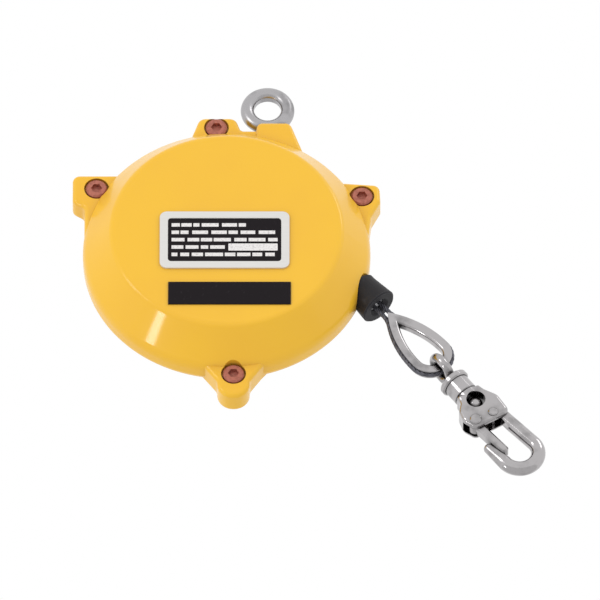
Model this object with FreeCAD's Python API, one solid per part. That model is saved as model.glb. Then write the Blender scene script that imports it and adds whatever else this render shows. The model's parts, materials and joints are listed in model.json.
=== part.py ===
"""Spring tool balancer, in millimetres.

A round two-part housing hangs from a swivelling eye.  Inside it a tapered
drum, driven by a spiral power spring, takes up a steel rope.  The rope leaves
through a guide bush, carries a rubber bumper, and ends in a thimble loop with
a swivel and a snap hook.  A ratchet on the back sets the spring's tension.

Everything is built about the drum: its axis is Y, the front cover faces -Y and
Z is up.  The finished parts are moved so that the origin is the centre of the
suspension eye.
"""
import FreeCAD, Part
import math
import os

V = FreeCAD.Vector
Y_AXIS = V(0, 1, 0)

# --- fits -------------------------------------------------------------------
running_gap = 0.08         # radial gap of a journal in its bore
free_gap = 0.3             # between pieces that must never rub
press_gap = 0.02           # radial gap of a piece fixed in its hole
chamfer_limit = 0.9        # smaller corner radii are made as flat chamfers

# --- housing ----------------------------------------------------------------
body_radius = 60.0
front_depth = 20.0         # parting plane to the front face
rear_depth = 17.0          # parting plane to the back face
front_rim = 5.0            # straight part of the rim, front cover
rear_rim = 2.5             # straight part of the rim, rear cover
shoulder_width = 11.8      # from the rim in to the flat face
face_fillet = 3.0
shoulder_fillet = 8.0
rim_wall = 3.2
shell_wall = 2.7
ear_depth = 5.5            # thickness of each cover's ears
lug_depth = 6.5            # thickness of each cover's suspension lug
ear_fillet = 1.8

# --- housing screws ---------------------------------------------------------
screw_outset = 2.8         # screw centres outside the body's radius
screw_angles = (150.0, 94.0, 26.0, -87.3)
screw_radius = 2.5
screw_head_radius = 4.4
screw_head_height = 3.0
screw_recess_radius = 5.2
screw_recess_depth = 2.6
hex_socket_flats = 4.0

# --- ears: corners (x, z, radius) from each ear's screw ------------------------
left_ear = ((16.4, 7.1, 0), (-10.0, 7.1, 3), (-10.0, -6.4, 3), (-5.0, -9.4, 3),
            (-5.0, -25.4, 0), (16.4, -25.4, 0))
top_ear = ((-13.6, -17.65, 0), (-10.8, -5.65, 4), (-7.0, 5.25, 3.5), (8.0, 5.25, 3.5),
           (10.2, -1.15, 2), (26.4, -1.15, 0), (26.4, -17.65, 0))
right_ear = ((-18.4, 8.05, 0), (7.35, 6.05, 3), (7.75, -2.35, 2), (3.95, -10.0, 3),
             (2.55, -21.5, 0), (-18.4, -21.5, 0))
bottom_ear = ((-19.0, 12.7, 0), (-11.6, 3.1, 6), (-6.8, -3.3, 4), (-6.8, -11.3, 6.6),
              (6.8, -11.3, 6.6), (6.8, -3.3, 4), (11.6, 3.7, 6), (19.0, 12.7, 0))

# --- suspension eye ---------------------------------------------------------
eye_x = 17.0
eye_rise = 15.0            # eye centre above the body's rim
eye_wire_radius = 2.9
eye_ring_radius = 8.35     # centre line of the ring
eye_bore_radius = 5.75     # flat land inside the ring
shank_radius = 3.0
collar_radius = 5.0
collar_height = 3.0
lug_rise = 4.9             # top of the lug above the body's rim
lug_thickness = 11.4       # the eye's collar bears on the lug's underside
lug_sides = ((-6.6, -19.9), (-4.3, 0.0), (9.5, 0.0), (17.0, -20.9))  # from the eye's axis and the top
eye_boss_radius = 7.0
recess_margin = 2.4        # recess under the ring, outside the ring's wire

# --- rope and its outlet ----------------------------------------------------
rope_radius = 1.0
rope_angle = 40.0          # rope line from straight down, towards +X
run_start = 15.5           # where the straight rope is clear of the turn beside it
outlet_boss_radius = 9.5
outlet_boss_lead = 0.5     # boss past the bush on the drum's side
outlet_inset = 3.94        # end of the bush inside the body's rim
bush_length = 6.5
bush_radius = 4.5
bush_flange_radius = 6.2
bush_flange_inset = 2.0
bush_flange_length = 2.0
bush_bore_radius = 1.6
bush_mouth_radius = 3.2
bush_throat = 3.0          # length of the flared mouth
bush_lip = 1.0
bush_lip_flare = 0.6
stroke = 1000.0

# --- bumper, ferrule, loop and thimble (distances along the rope line) --------
bumper_length = 13.5
bumper_seat_radius = 7.2
bumper_mouth_radius = 8.2
bumper_wall = 3.4
bumper_back = 2.6
bumper_seat_length = 3.0
ferrule_length = 9.0
ferrule_half_width = 3.0
ferrule_half_depth = 1.9
strand_offset = 1.5        # each strand of the loop from the rope line
loop_distance = 32.7       # bumper to the loop's centre
loop_radius = 9.2          # rope centre line round the thimble
loop_side_radius = 45.0
loop_neck_radius = 12.0
thimble_wall = 4.0         # rope centre line to the thimble's hole
thimble_depth = 2.4        # half the thimble's width
thimble_lip_fillet = 1.6

# --- swivel and hook ----------------------------------------------------------
hook_angle = 37.0          # hook line from straight down, towards +X
link_wire_radius = 2.0
link_gap = 0.4             # between the link's eye and the thimble
link_ring_radius = 5.5
link_collar_radius = 6.5
link_collar_start = 12.6
link_collar_length = 2.6
link_barrel_radius = 5.5
link_barrel_end = 22.2
rivet_radius = 2.0
rivet_ball_radius = 3.3
ball_distance = 28.0       # pivot in the thimble to the rivet's ball
rivet_root = 16.5

head_top = -5.5            # hook head, measured from the ball along the hook
head_depth = 5.0           # half the head's thickness
head_fillet = 1.8
head_outline = ((-2.2, 6.2, 3), (3.5, 9.0, 5), (13.5, 8.2, 3), (12.8, 1.0, 3), (11.6, -8.6, 2.5),
                (6.0, -10.6, 4), (0.5, -9.0, 5), (-2.4, -5.9, 3))  # (along, across, radius)
head_neck_corner = 1.0
window_radius = 4.0
hook_bend_centre = 30.5
hook_bend_radius = 7.75
hook_wire_radius = 3.05
nose_radius = 2.2
nose_end = 19.0
nose_offset = 8.8
arm_root = 8.0
arm_root_offset = 5.2

# --- gate ---------------------------------------------------------------------
gate_pivot = (8.6, -6.2)   # along and across the hook
gate_tip = (27.5, -4.5)
gate_half_width = 1.8
gate_boss_radius = 2.9
gate_depth = 2.6
gate_pin_radius = 1.5
gate_pin_head_radius = 2.4
gate_pin_head_height = 0.7
spring_pin = (9.9, 1.8)
spring_pin_radius = 1.1
gate_slot_gap = 0.3
gate_slot_reach = 10.0     # across the hook from the gate's pivot

# --- drum -----------------------------------------------------------------------
drum_room = 9.5            # inside of the rim to the drum's flange
flange_height = 3.3        # flange above the last turn's centre line
cone_height = 11.5         # rise of the rope's centre line from first turn to last
groove_first = 4.8         # plane of the groove that the rope leaves at rest
groove_step = 2.3
groove_gap = 0.1           # rope to groove
groove_crest = 0.3         # crest between grooves, below the rope's centre line
spare_turns = 1
flange_thickness = 2.0
rear_flange_height = 3.0
cup_wall = 3.0             # centre line of the first turn to the spring's cup
web_step = 1.5             # front of the web ahead of the flange
web_thickness = 3.0
drum_rear = 8.0
hub_radius = 11.0
pocket_inner_wall = 2.5
pocket_outer_wall = 2.8
pocket_count = 6
pocket_rib_angle = 9.0
drum_cover_thickness = 2.0
drum_cover_margin = 1.0
cover_hub_length = 3.5
cover_screw_margin = 2.9   # screw centres outside the cup
cover_screw_radius = 1.0
cover_screw_head_radius = 1.7
cover_screw_head_height = 1.0
cover_screw_length = 3.8
anchor_radius = 1.8
anchor_length = 3.0

# --- shaft, bushes and power spring ---------------------------------------------
shaft_radius = 6.0
arbor_radius = 8.0
bush_wall = 1.95
washer_radius = 9.5
washer_thickness = 0.8
shaft_boss_radius = 10.0
shaft_flats = 9.6
strip_thickness = 0.5
spring_turns = 8
spring_inner_gap = 1.0     # arbor to the innermost coil
spring_side_gap = 1.0      # strip to the cup's floor and to its cover

# --- tension ratchet --------------------------------------------------------------
rear_boss_height = 1.0
ratchet_teeth = 14
ratchet_tip_radius = 13.0
ratchet_root_radius = 10.6
ratchet_thickness = 4.0
shaft_end = 26.0
clip_radius = 7.8
clip_groove_radius = 5.3
clip_thickness = 1.0
pawl_pivot_distance = 24.0
pawl_contact_radius = 12.0
pawl_angle = 120.0
pawl_boss_radius = 4.0
pawl_thickness = 3.0
pawl_half_width = 2.2
pawl_heel = 0.6            # rise of the pawl's back over its half width, at the boss
pawl_crown = 1.4           # the same in the middle
pawl_pin_radius = 2.0
pawl_pin_head_radius = 3.4
pawl_pin_head_height = 1.0
pawl_spring_height = 1.6
pawl_spring_wire = 0.4

# --- plates -----------------------------------------------------------------------
nameplate_size = (54.0, 28.6)
nameplate_x = -0.8
nameplate_thickness = 0.8
nameplate_border = 3.3
nameplate_field_depth = 0.2
nameplate_corner = 3.0
strip_size = (51.0, 11.2)
strip_x = 1.3
strip_drop = 15.9          # strip's centre from the edge of the flat face
plate_spacing = 7.0        # between the nameplate and the strip
strip_plate_thickness = 0.5


# ==================================================================================
# helpers
# ==================================================================================
def polar(radius, angle_deg):
    """Point (x, z) at an angle from +X towards +Z."""
    angle = math.radians(angle_deg)
    return radius * math.cos(angle), radius * math.sin(angle)


def rounded_wire(corners, place):
    """Closed wire through corners (a, b, radius), each rounded or chamfered."""
    edges = []
    starts, ends = [], []
    count = len(corners)
    for index, (a, b, radius) in enumerate(corners):
        before = corners[index - 1]
        after = corners[(index + 1) % count]
        to_before = V(before[0] - a, before[1] - b, 0).normalize()
        to_after = V(after[0] - a, after[1] - b, 0).normalize()
        corner = V(a, b, 0)
        if radius == 0:
            starts.append(corner)
            ends.append(corner)
            continue
        half_angle = to_before.getAngle(to_after) / 2
        reach = radius / math.tan(half_angle)
        first = corner + to_before * reach
        last = corner + to_after * reach
        starts.append(first)
        ends.append(last)
        if radius > chamfer_limit:
            bisector = (to_before + to_after).normalize()
            middle = corner + bisector * (radius / math.sin(half_angle) - radius)
            edge = Part.Arc(place(first), place(middle), place(last)).toShape()
        else:
            edge = Part.makeLine(place(first), place(last))
        edges.append((index, edge))
    arcs = dict(edges)
    ordered = []
    for index in range(count):
        if index in arcs:
            ordered.append(arcs[index])
        following = starts[(index + 1) % count]
        if ends[index].distanceToPoint(following) > 1e-6:
            ordered.append(Part.makeLine(place(ends[index]), place(following)))
    return Part.Wire(ordered)


def plate(corners, y_start, y_end):
    """Flat piece with an outline in the XZ plane, from y_start to y_end."""
    wire = rounded_wire(corners, lambda p: V(p.x, y_start, p.y))
    return Part.Face(wire).extrude(V(0, y_end - y_start, 0))


def turned(corners):
    """Solid of revolution about Y from corners (radius, y, fillet)."""
    wire = rounded_wire(corners, lambda p: V(p.x, p.y, 0))
    return Part.Face(wire).revolve(V(0, 0, 0), Y_AXIS, 360)


def lathed(corners):
    """Solid of revolution about X from corners (x, radius, fillet)."""
    wire = rounded_wire(corners, lambda p: V(p.x, 0, p.y))
    return Part.Face(wire).revolve(V(0, 0, 0), V(1, 0, 0), 360)


def pin_y(radius, y_start, y_end, x=0.0, z=0.0):
    return Part.makeCylinder(radius, y_end - y_start, V(x, y_start, z), Y_AXIS)


def ring_y(outer, inner, y_start, y_end):
    return pin_y(outer, y_start, y_end).cut(pin_y(inner, y_start, y_end))


def fillet_plane(shape, y, radius):
    """Round or chamfer the edges that lie in the plane at this y."""
    edges = []
    for edge in shape.Edges:
        box = edge.BoundBox
        if abs(box.YMin - y) < 1e-6 and abs(box.YMax - y) < 1e-6:
            edges.append(edge)
    if radius > chamfer_limit:
        return shape.makeFillet(radius, edges)
    return shape.makeChamfer(radius, edges)


def on_line(shape, origin, angle_deg):
    """Move a piece built along X to a line that is angle_deg from straight down."""
    moved = shape.copy()
    moved.rotate(V(0, 0, 0), Y_AXIS, 90 - angle_deg)
    moved.translate(origin)
    return moved


def line_point(origin, angle_deg, along, across=0.0):
    angle = math.radians(angle_deg)
    direction = V(math.sin(angle), 0, -math.cos(angle))
    sideways = V(math.cos(angle), 0, math.sin(angle))
    return origin + direction * along + sideways * across


def turned_on_rope(corners):
    """Piece turned about the rope line from corners (distance, radius, fillet)."""
    return on_line(lathed(corners), rope_origin, rope_angle)


def half(shape, side):
    """The part of a shape on one side of the parting plane."""
    size = 4 * body_radius
    low = 0 if side > 0 else -size
    return shape.common(Part.makeBox(size, size, size, V(-size / 2, low, -size / 2)))


# ==================================================================================
# places worked out from the driving dimensions
# ==================================================================================
face_radius = body_radius - shoulder_width
screw_distance = body_radius + screw_outset
eye_z = body_radius + eye_rise
lug_top = body_radius + lug_rise
lug_seat = lug_top - lug_thickness
flange_radius = body_radius - rim_wall - drum_room
pitch_radius_max = flange_radius - flange_height        # rope pulled out
pitch_radius_min = pitch_radius_max - cone_height       # rope wound in
rear_flange_radius = pitch_radius_min + rear_flange_height
cup_radius = pitch_radius_min - cup_wall
pocket_inner = cup_radius + pocket_inner_wall
pocket_outer = pitch_radius_max - pocket_outer_wall
drum_cover_radius = rear_flange_radius - drum_cover_margin
cover_screw_distance = cup_radius + cover_screw_margin

rope_origin = line_point(V(0, 0, 0), rope_angle, 0, pitch_radius_min)
bush_end = math.sqrt(body_radius ** 2 - pitch_radius_min ** 2) - outlet_inset
bush_start = bush_end - bush_length
bush_flange_start = bush_start + bush_flange_inset
outlet_boss_start = bush_start - outlet_boss_lead
bumper_start = bush_end + free_gap
bumper_end = bumper_start + bumper_length
loop_centre = bumper_end + loop_distance
pivot_distance = loop_centre + loop_radius - thimble_wall - link_wire_radius - link_gap
link_pivot = line_point(rope_origin, rope_angle, pivot_distance)
ball_point = line_point(link_pivot, hook_angle, ball_distance)

live_turns = stroke / (math.pi * (pitch_radius_min + pitch_radius_max))
turn_count = int(live_turns) + 1 + spare_turns
groove_growth = (pitch_radius_max - pitch_radius_min) / live_turns
rope_corner = 2 * rope_radius / math.sqrt(3)            # corner of a six-sided turn of rope
last_groove = groove_first - (turn_count - 1) * groove_step
flange_rear = last_groove - rope_radius - free_gap
flange_front = flange_rear - flange_thickness
drum_front = flange_front - web_step
cover_front = drum_rear
cover_rear = drum_rear + drum_cover_thickness
front_boss_end = drum_front - running_gap - washer_thickness
rear_boss_end = cover_rear + running_gap + washer_thickness
strip_start = drum_front + web_thickness + spring_side_gap
strip_end = cover_rear - cover_hub_length - spring_side_gap
strip_width = strip_end - strip_start
spring_inner_radius = arbor_radius + spring_inner_gap
outer_boss_end = rear_depth + rear_boss_height
ratchet_start = outer_boss_end + running_gap
ratchet_end = ratchet_start + ratchet_thickness
strip_z = strip_drop - face_radius
nameplate_z = strip_z + (strip_size[1] + nameplate_size[1]) / 2 + plate_spacing


# ==================================================================================
# housing
# ==================================================================================
def dome(side, depth, rim, inset):
    """Solid bounded by a cover's outer or inner surface (inset by the walls)."""
    radius = body_radius - (rim_wall if inset else 0)
    top = depth - (shell_wall if inset else 0)
    shoulder = rim - (0.4 * shell_wall if inset else 0)
    face = face_radius - (0.9 * shell_wall if inset else 0)
    fillets = (shoulder_fillet - shell_wall, 0.5) if inset else (shoulder_fillet, face_fillet)
    corners = [(0, 0, 0), (radius, 0, 0), (radius, side * shoulder, 0),
               (face, side * top, fillets[1]), (0, side * top, 0)]
    corners[2] = (radius, side * shoulder, min(fillets[0], 1.9 * shoulder))
    return turned(corners)


def ear_outlines():
    """Outline of each ear, in the order of the screws."""
    outlines = []
    for (x, z), ear in zip(screw_places(), (left_ear, top_ear, right_ear, bottom_ear)):
        outlines.append([(x + a, z + b, radius) for a, b, radius in ear])
    return outlines


def lug_outline():
    radii = (0, 2.5, 3, 0)
    return [(eye_x + a, lug_top + b, radius) for (a, b), radius in zip(lug_sides, radii)]


def screw_places():
    return [polar(screw_distance, angle) for angle in screw_angles]


def raw_cover(side, depth, rim):
    """One cover with its ears, its lug, its hollow and its split bosses."""
    cover = dome(side, depth, rim, False)
    for outline in ear_outlines():
        ear = plate(outline, 0, side * ear_depth)
        cover = cover.fuse(fillet_plane(ear, side * ear_depth, ear_fillet))
    lug = plate(lug_outline(), 0, side * lug_depth)
    cover = cover.fuse(fillet_plane(lug, side * lug_depth, ear_fillet))
    cover = cover.cut(dome(side, depth, rim, True))
    eye_boss = Part.makeCylinder(eye_boss_radius, lug_top - 2 * ear_fillet - lug_seat,
                                 V(eye_x, 0, lug_seat))
    outlet_boss = turned_on_rope([
        (outlet_boss_start, 0, 0), (outlet_boss_start, outlet_boss_radius, 1),
        (bumper_start + 1, outlet_boss_radius, 0), (bumper_start + 1, 0, 0)])
    eye_boss = half(eye_boss, side).common(plate(lug_outline(), 0, side * lug_depth))
    outlet_boss = half(outlet_boss, side).common(dome(side, depth, rim, False))
    cover = cover.fuse([eye_boss, outlet_boss])
    cover = cover.cut(outlet_hollow())
    cover = cover.cut(eye_hollow())
    return cover


def outlet_hollow():
    """Space for the guide bush and for the bumper that seats against it."""
    bush = turned_on_rope([
        (outlet_boss_start - bush_length, 0, 0),
        (outlet_boss_start - bush_length, bush_radius + press_gap, 0),
        (bush_flange_start, bush_radius + press_gap, 0),
        (bush_flange_start, bush_flange_radius + press_gap, 0),
        (bush_flange_start + bush_flange_length, bush_flange_radius + press_gap, 0),
        (bush_flange_start + bush_flange_length, bush_radius + press_gap, 0),
        (bush_end, bush_radius + press_gap, 0), (bush_end, 0, 0)])
    pocket = turned_on_rope([
        (bush_end, 0, 0), (bush_end, bumper_seat_radius + free_gap, 0),
        (bumper_end, bumper_mouth_radius + free_gap, 0), (bumper_end, 0, 0)])
    return bush.fuse(pocket)


def eye_hollow():
    """Bore for the eye's shank and a shallow recess under its ring."""
    ring_bottom = eye_z - eye_ring_radius - eye_wire_radius - free_gap
    recess = Part.makeCylinder(eye_wire_radius + recess_margin, lug_top, V(eye_x, 0, ring_bottom))
    bore = Part.makeCylinder(shank_radius + running_gap, lug_top, V(eye_x, 0, 0))
    collar_room = Part.makeCylinder(collar_radius + free_gap, lug_seat, V(eye_x, 0, 0))
    return recess.fuse([bore, collar_room])


def front_cover():
    cover = raw_cover(-1, front_depth, front_rim)
    boss = pin_y(shaft_boss_radius, -front_depth + shell_wall / 2, front_boss_end)
    cover = cover.fuse(boss)
    bore_end = -front_depth + shell_wall
    cover = cover.cut(pin_y(shaft_radius + running_gap, bore_end, front_boss_end))
    recess_floor = -ear_depth + screw_recess_depth
    for x, z in screw_places():
        cover = cover.cut(pin_y(screw_recess_radius, -front_depth, recess_floor, x, z))
        cover = cover.cut(pin_y(screw_radius + running_gap, recess_floor, 0, x, z))
    return cover.removeSplitter()


def rear_cover():
    cover = raw_cover(1, rear_depth, rear_rim)
    boss = turned([(0, rear_boss_end, 0), (shaft_boss_radius, rear_boss_end, 0),
                   (shaft_boss_radius, outer_boss_end, 0.5), (0, outer_boss_end, 0)])
    x, z = pawl_pivot()
    pawl_boss = pin_y(pawl_boss_radius, rear_depth - shell_wall - 1, outer_boss_end, x, z)
    cover = cover.fuse([boss, pawl_boss])
    cover = cover.cut(pin_y(shaft_radius + running_gap, 0, outer_boss_end))
    cover = cover.cut(pin_y(pawl_pin_radius + press_gap, rear_depth - shell_wall,
                            outer_boss_end, x, z))
    for x, z in screw_places():
        cover = cover.cut(pin_y(screw_radius + press_gap, 0, ear_depth, x, z))
    return cover.removeSplitter()


def housing_screws():
    """Socket head screws, one in each ear."""
    floor = -ear_depth + screw_recess_depth
    head_top_y = floor - screw_head_height
    screws = []
    for x, z in screw_places():
        head = pin_y(screw_head_radius, head_top_y, floor, x, z)
        head = fillet_plane(head, head_top_y, 0.6)
        shank = pin_y(screw_radius, floor, ear_depth, x, z)
        socket = hexagon(hex_socket_flats, head_top_y, head_top_y + 0.6 * screw_head_height)
        socket.translate(V(x, 0, z))
        screws.append(head.fuse(shank).cut(socket).removeSplitter())
    return Part.makeCompound(screws)


def hexagon(flats, y_start, y_end):
    corner = flats / math.sqrt(3)
    points = [polar(corner, 60 * k) for k in range(6)]
    return plate([(x, z, 0) for x, z in points], y_start, y_end)


def name_plate_blank():
    centre = (nameplate_x, nameplate_z)
    top = -front_depth - nameplate_thickness
    outer = bordered(nameplate_size, centre, 0, nameplate_corner, top, -front_depth)
    field = bordered(nameplate_size, centre, nameplate_border, nameplate_corner / 2,
                     top, top + nameplate_field_depth)
    return outer.cut(field)


def bordered(size, centre, inset, corner, y_start, y_end):
    """Rounded rectangle on the front face."""
    half_width = size[0] / 2 - inset
    half_height = size[1] / 2 - inset
    x, z = centre
    corners = [(x - half_width, z - half_height, corner), (x + half_width, z - half_height, corner),
               (x + half_width, z + half_height, corner), (x - half_width, z + half_height, corner)]
    return plate(corners, y_start, y_end)


def name_strip():
    return bordered(strip_size, (strip_x, strip_z), 0, 0,
                    -front_depth - strip_plate_thickness, -front_depth)


# ==================================================================================
# suspension eye
# ==================================================================================
def suspension_eye():
    ring = Part.makeTorus(eye_ring_radius, eye_wire_radius, V(eye_x, 0, eye_z), Y_AXIS)
    neck_top = eye_z - eye_ring_radius
    collar_top = lug_seat - running_gap
    shank = Part.makeCylinder(shank_radius, neck_top - collar_top, V(eye_x, 0, collar_top))
    collar = Part.makeCylinder(collar_radius, collar_height,
                               V(eye_x, 0, collar_top - collar_height))
    eye = ring.fuse([shank, collar])
    land = pin_y(eye_bore_radius, -eye_wire_radius, eye_wire_radius, eye_x, eye_z)
    return eye.cut(land).removeSplitter()


# ==================================================================================
# drum and its fittings
# ==================================================================================
def groove_places():
    """(radius, y) of each rope turn, from the one that leaves at rest."""
    places = []
    for turn in range(turn_count):
        radius = min(pitch_radius_min + turn * groove_growth, pitch_radius_max)
        places.append((radius, groove_first - turn * groove_step))
    return places


def groove_frames():
    """Centre, direction along the cone and outward normal of each groove, front to rear.

    All three are vectors in the (radius, y) plane.
    """
    places = groove_places()
    last = len(places) - 1
    frames = []
    for index, (radius, y) in enumerate(places):
        before = places[max(index - 1, 0)]
        after = places[min(index + 1, last)]
        along = V(after[0] - before[0], after[1] - before[1], 0).normalize()
        frames.append((V(radius, y, 0), along, V(-along.y, along.x, 0)))
    frames.reverse()
    return frames


def groove_corners():
    """Corners of the drum's cone, with a groove that cradles each six-sided turn of rope."""
    depth = rope_radius + groove_gap
    floor = depth / math.sqrt(3)
    crest = (2 * depth - groove_crest) / math.sqrt(3)
    corners = []
    for centre, along, outward in groove_frames():
        for across, height in ((crest, -groove_crest), (floor, -depth), (-floor, -depth),
                               (-crest, -groove_crest)):
            point = centre + along * across + outward * height
            corners.append((point.x, point.y, 0))
    return corners


def drum():
    first_edge = groove_first + rope_radius + free_gap
    neck = pitch_radius_min - (first_edge - groove_first) * groove_growth / groove_step
    body = turned([
        (hub_radius, drum_front, 0), (hub_radius, drum_front + 1, 0),
        (cup_radius, drum_front + 1, 0.8), (cup_radius + 2, flange_front, 0),
        (flange_radius, flange_front, 0.8), (flange_radius, flange_rear, 0.8),
        (pitch_radius_max - groove_crest, flange_rear, 0), *groove_corners(),
        (neck, first_edge, 0), (rear_flange_radius, first_edge, 0),
        (rear_flange_radius, drum_rear, 0.5), (cup_radius, drum_rear, 0),
        (cup_radius, drum_front + web_thickness, 0.8), (hub_radius, drum_front + web_thickness, 0),
        (shaft_radius + running_gap + bush_wall, drum_front + web_thickness, 0),
        (shaft_radius + running_gap + bush_wall, drum_front, 0)])
    return body.cut([drum_pockets(), drum_holes()])


def drum_pockets():
    """Pockets behind the cone, cast from the front, with ribs between them."""
    slope = groove_step / groove_growth
    deep = drum_front + web_thickness + (pocket_outer - pocket_inner) * slope
    wire = rounded_wire([
        (pocket_inner, flange_front - 1, 0), (pocket_outer, flange_front - 1, 0),
        (pocket_outer, drum_front + web_thickness + 2, 0), (pocket_inner, deep + 2, 1)],
        lambda p: V(p.x, p.y, 0))
    sector = Part.Face(wire).revolve(V(0, 0, 0), Y_AXIS, 360 / pocket_count - pocket_rib_angle)
    pockets = []
    for index in range(pocket_count):
        pocket = sector.copy()
        pocket.rotate(V(0, 0, 0), Y_AXIS, index * 360 / pocket_count)
        pockets.append(pocket)
    return Part.makeCompound(pockets)


def cover_screw_places():
    return [polar(cover_screw_distance, 120 * k + 30) for k in range(3)]


def drum_holes():
    holes = []
    for x, z in cover_screw_places():
        holes.append(pin_y(cover_screw_radius + press_gap, cover_rear - cover_screw_length - press_gap,
                           cover_rear, x, z))
    x, z = anchor_place()
    holes.append(pin_y(anchor_radius + press_gap, flange_front - 1,
                       flange_front + anchor_length, x, z))
    return Part.makeCompound(holes)


def anchor_place():
    return polar(pitch_radius_max, 180 / pocket_count)


def drum_cover():
    bore = shaft_radius + running_gap + bush_wall + press_gap
    disc = turned([
        (bore, cover_rear - cover_hub_length, 0), (hub_radius, cover_rear - cover_hub_length, 0.5),
        (hub_radius, cover_front, 0), (drum_cover_radius, cover_front, 0),
        (drum_cover_radius, cover_rear, 0.5), (bore, cover_rear, 0)])
    for x, z in cover_screw_places():
        disc = disc.cut(pin_y(cover_screw_radius + running_gap, cover_front, cover_rear, x, z))
        disc = disc.cut(pin_y(cover_screw_head_radius + running_gap,
                              cover_rear - cover_screw_head_height, cover_rear, x, z))
    return disc


def drum_cover_screws():
    screws = []
    seat = cover_rear - cover_screw_head_height
    for x, z in cover_screw_places():
        head = pin_y(cover_screw_head_radius, seat, cover_rear, x, z)
        shank = pin_y(cover_screw_radius, cover_rear - cover_screw_length, seat, x, z)
        screws.append(head.fuse(shank).removeSplitter())
    return Part.makeCompound(screws)


def drum_bushes():
    inner = shaft_radius + running_gap
    outer = inner + bush_wall - press_gap
    front = ring_y(outer, inner, drum_front, drum_front + web_thickness)
    rear = ring_y(outer, inner, cover_rear - cover_hub_length, cover_rear)
    return Part.makeCompound([front, rear])


def rope_turn(centre, along, outward):
    """One closed turn of rope, six-sided to match its groove."""
    corners = []
    for side in range(6):
        across, height = polar(rope_corner, 60 * side)
        point = centre + along * across + outward * height
        corners.append((point.x, point.y, 0))
    return turned(corners)


def cable_wraps():
    """The wound rope, one turn in each groove."""
    return Part.makeCompound([rope_turn(*frame) for frame in groove_frames()])


def cable_anchor():
    """Swaged stop in the drum's flange that holds the rope's inner end."""
    x, z = anchor_place()
    stop = pin_y(anchor_radius, flange_front, last_groove - rope_corner - press_gap, x, z)
    return fillet_plane(stop, flange_front, 0.5)


# ==================================================================================
# shaft and power spring
# ==================================================================================
def main_shaft():
    front_end = -front_depth + shell_wall + running_gap
    shaft = pin_y(shaft_radius, front_end, ratchet_start)
    arbor = pin_y(arbor_radius, drum_front + web_thickness + free_gap,
                  cover_rear - cover_hub_length - free_gap)
    square_length = shaft_end - ratchet_start
    square = Part.makeBox(shaft_flats, square_length, shaft_flats,
                          V(-shaft_flats / 2, ratchet_start, -shaft_flats / 2))
    square = square.common(pin_y(shaft_radius, ratchet_start, shaft_end))
    groove = ring_y(shaft_radius + 1, clip_groove_radius, ratchet_end + running_gap,
                    ratchet_end + 2 * running_gap + clip_thickness)
    slot_depth = arbor_radius - shaft_radius + 0.5
    slot = Part.makeBox(slot_depth, strip_width + 2 * free_gap, 3 * strip_thickness,
                        V(arbor_radius - slot_depth, strip_start - free_gap, -1.5 * strip_thickness))
    return shaft.fuse([arbor, square]).cut(groove).cut(slot).removeSplitter()


def spiral_side(start_radius, step, half_turns):
    """Arcs of a spiral: half circles about two centres on X, each half a step wider."""
    edges = []
    for index in range(half_turns):
        radius = start_radius + index * step / 2
        centre = step / 2 if index % 2 else 0.0
        sign = -1 if index % 2 else 1
        edges.append(Part.Arc(V(centre + sign * radius, 0, 0), V(centre, 0, sign * radius),
                              V(centre - sign * radius, 0, 0)).toShape())
    return edges


def power_spring():
    """Spiral strip, fixed to the arbor inside and to the drum outside."""
    half_turns = 2 * spring_turns
    outer_radius = cup_radius - free_gap - strip_thickness
    step = (outer_radius - spring_inner_radius) / spring_turns
    inner = spiral_side(spring_inner_radius, step, half_turns)
    outer = spiral_side(spring_inner_radius + strip_thickness, step, half_turns)
    start = Part.makeLine(inner[0].Vertexes[0].Point, outer[0].Vertexes[0].Point)
    end_inner = spring_inner_radius + half_turns * step / 2
    finish = Part.makeLine(V(end_inner, 0, 0), V(end_inner + strip_thickness, 0, 0))
    wire = Part.Wire(Part.__sortEdges__(inner + outer + [start, finish]))
    strip = Part.Face(wire).extrude(V(0, strip_width, 0))
    tab_start = shaft_radius + free_gap
    tab = Part.makeBox(spring_inner_radius + strip_thickness - tab_start, strip_width,
                       strip_thickness, V(tab_start, 0, -strip_thickness / 2))
    spring = strip.fuse(tab)
    spring.translate(V(0, strip_start, 0))
    return spring.removeSplitter()


def thrust_washers():
    inner = shaft_radius + running_gap
    front = ring_y(washer_radius, inner, front_boss_end, front_boss_end + washer_thickness)
    rear = ring_y(washer_radius, inner, rear_boss_end - washer_thickness, rear_boss_end)
    return Part.makeCompound([front, rear])


# ==================================================================================
# tension ratchet on the back
# ==================================================================================
def pawl_pivot():
    return polar(pawl_pivot_distance, pawl_angle)


def pawl_contact_angle():
    return pawl_angle - math.degrees(math.acos(pawl_contact_radius / pawl_pivot_distance))


def ratchet_wheel():
    pitch = 360 / ratchet_teeth
    corners = []
    for tooth in range(ratchet_teeth):
        face = pawl_contact_angle() + tooth * pitch
        corners.append((*polar(ratchet_tip_radius, face), 0))
        corners.append((*polar(ratchet_root_radius, face), 0))
    wheel = plate(corners, ratchet_start, ratchet_end)
    flats = shaft_flats + 2 * running_gap
    bore = Part.makeBox(flats, ratchet_thickness, flats, V(-flats / 2, ratchet_start, -flats / 2))
    bore = bore.common(pin_y(shaft_radius + running_gap, ratchet_start, ratchet_end))
    return wheel.cut(bore)


def shaft_clip():
    """Retaining ring behind the ratchet wheel."""
    start = ratchet_end + running_gap
    ring = ring_y(clip_radius, clip_groove_radius + press_gap, start, start + clip_thickness)
    mouth = Part.makeBox(2 * clip_groove_radius - 3, clip_thickness, clip_radius,
                         V(1.5 - clip_groove_radius, start, -clip_radius))
    return ring.cut(mouth)


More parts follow.
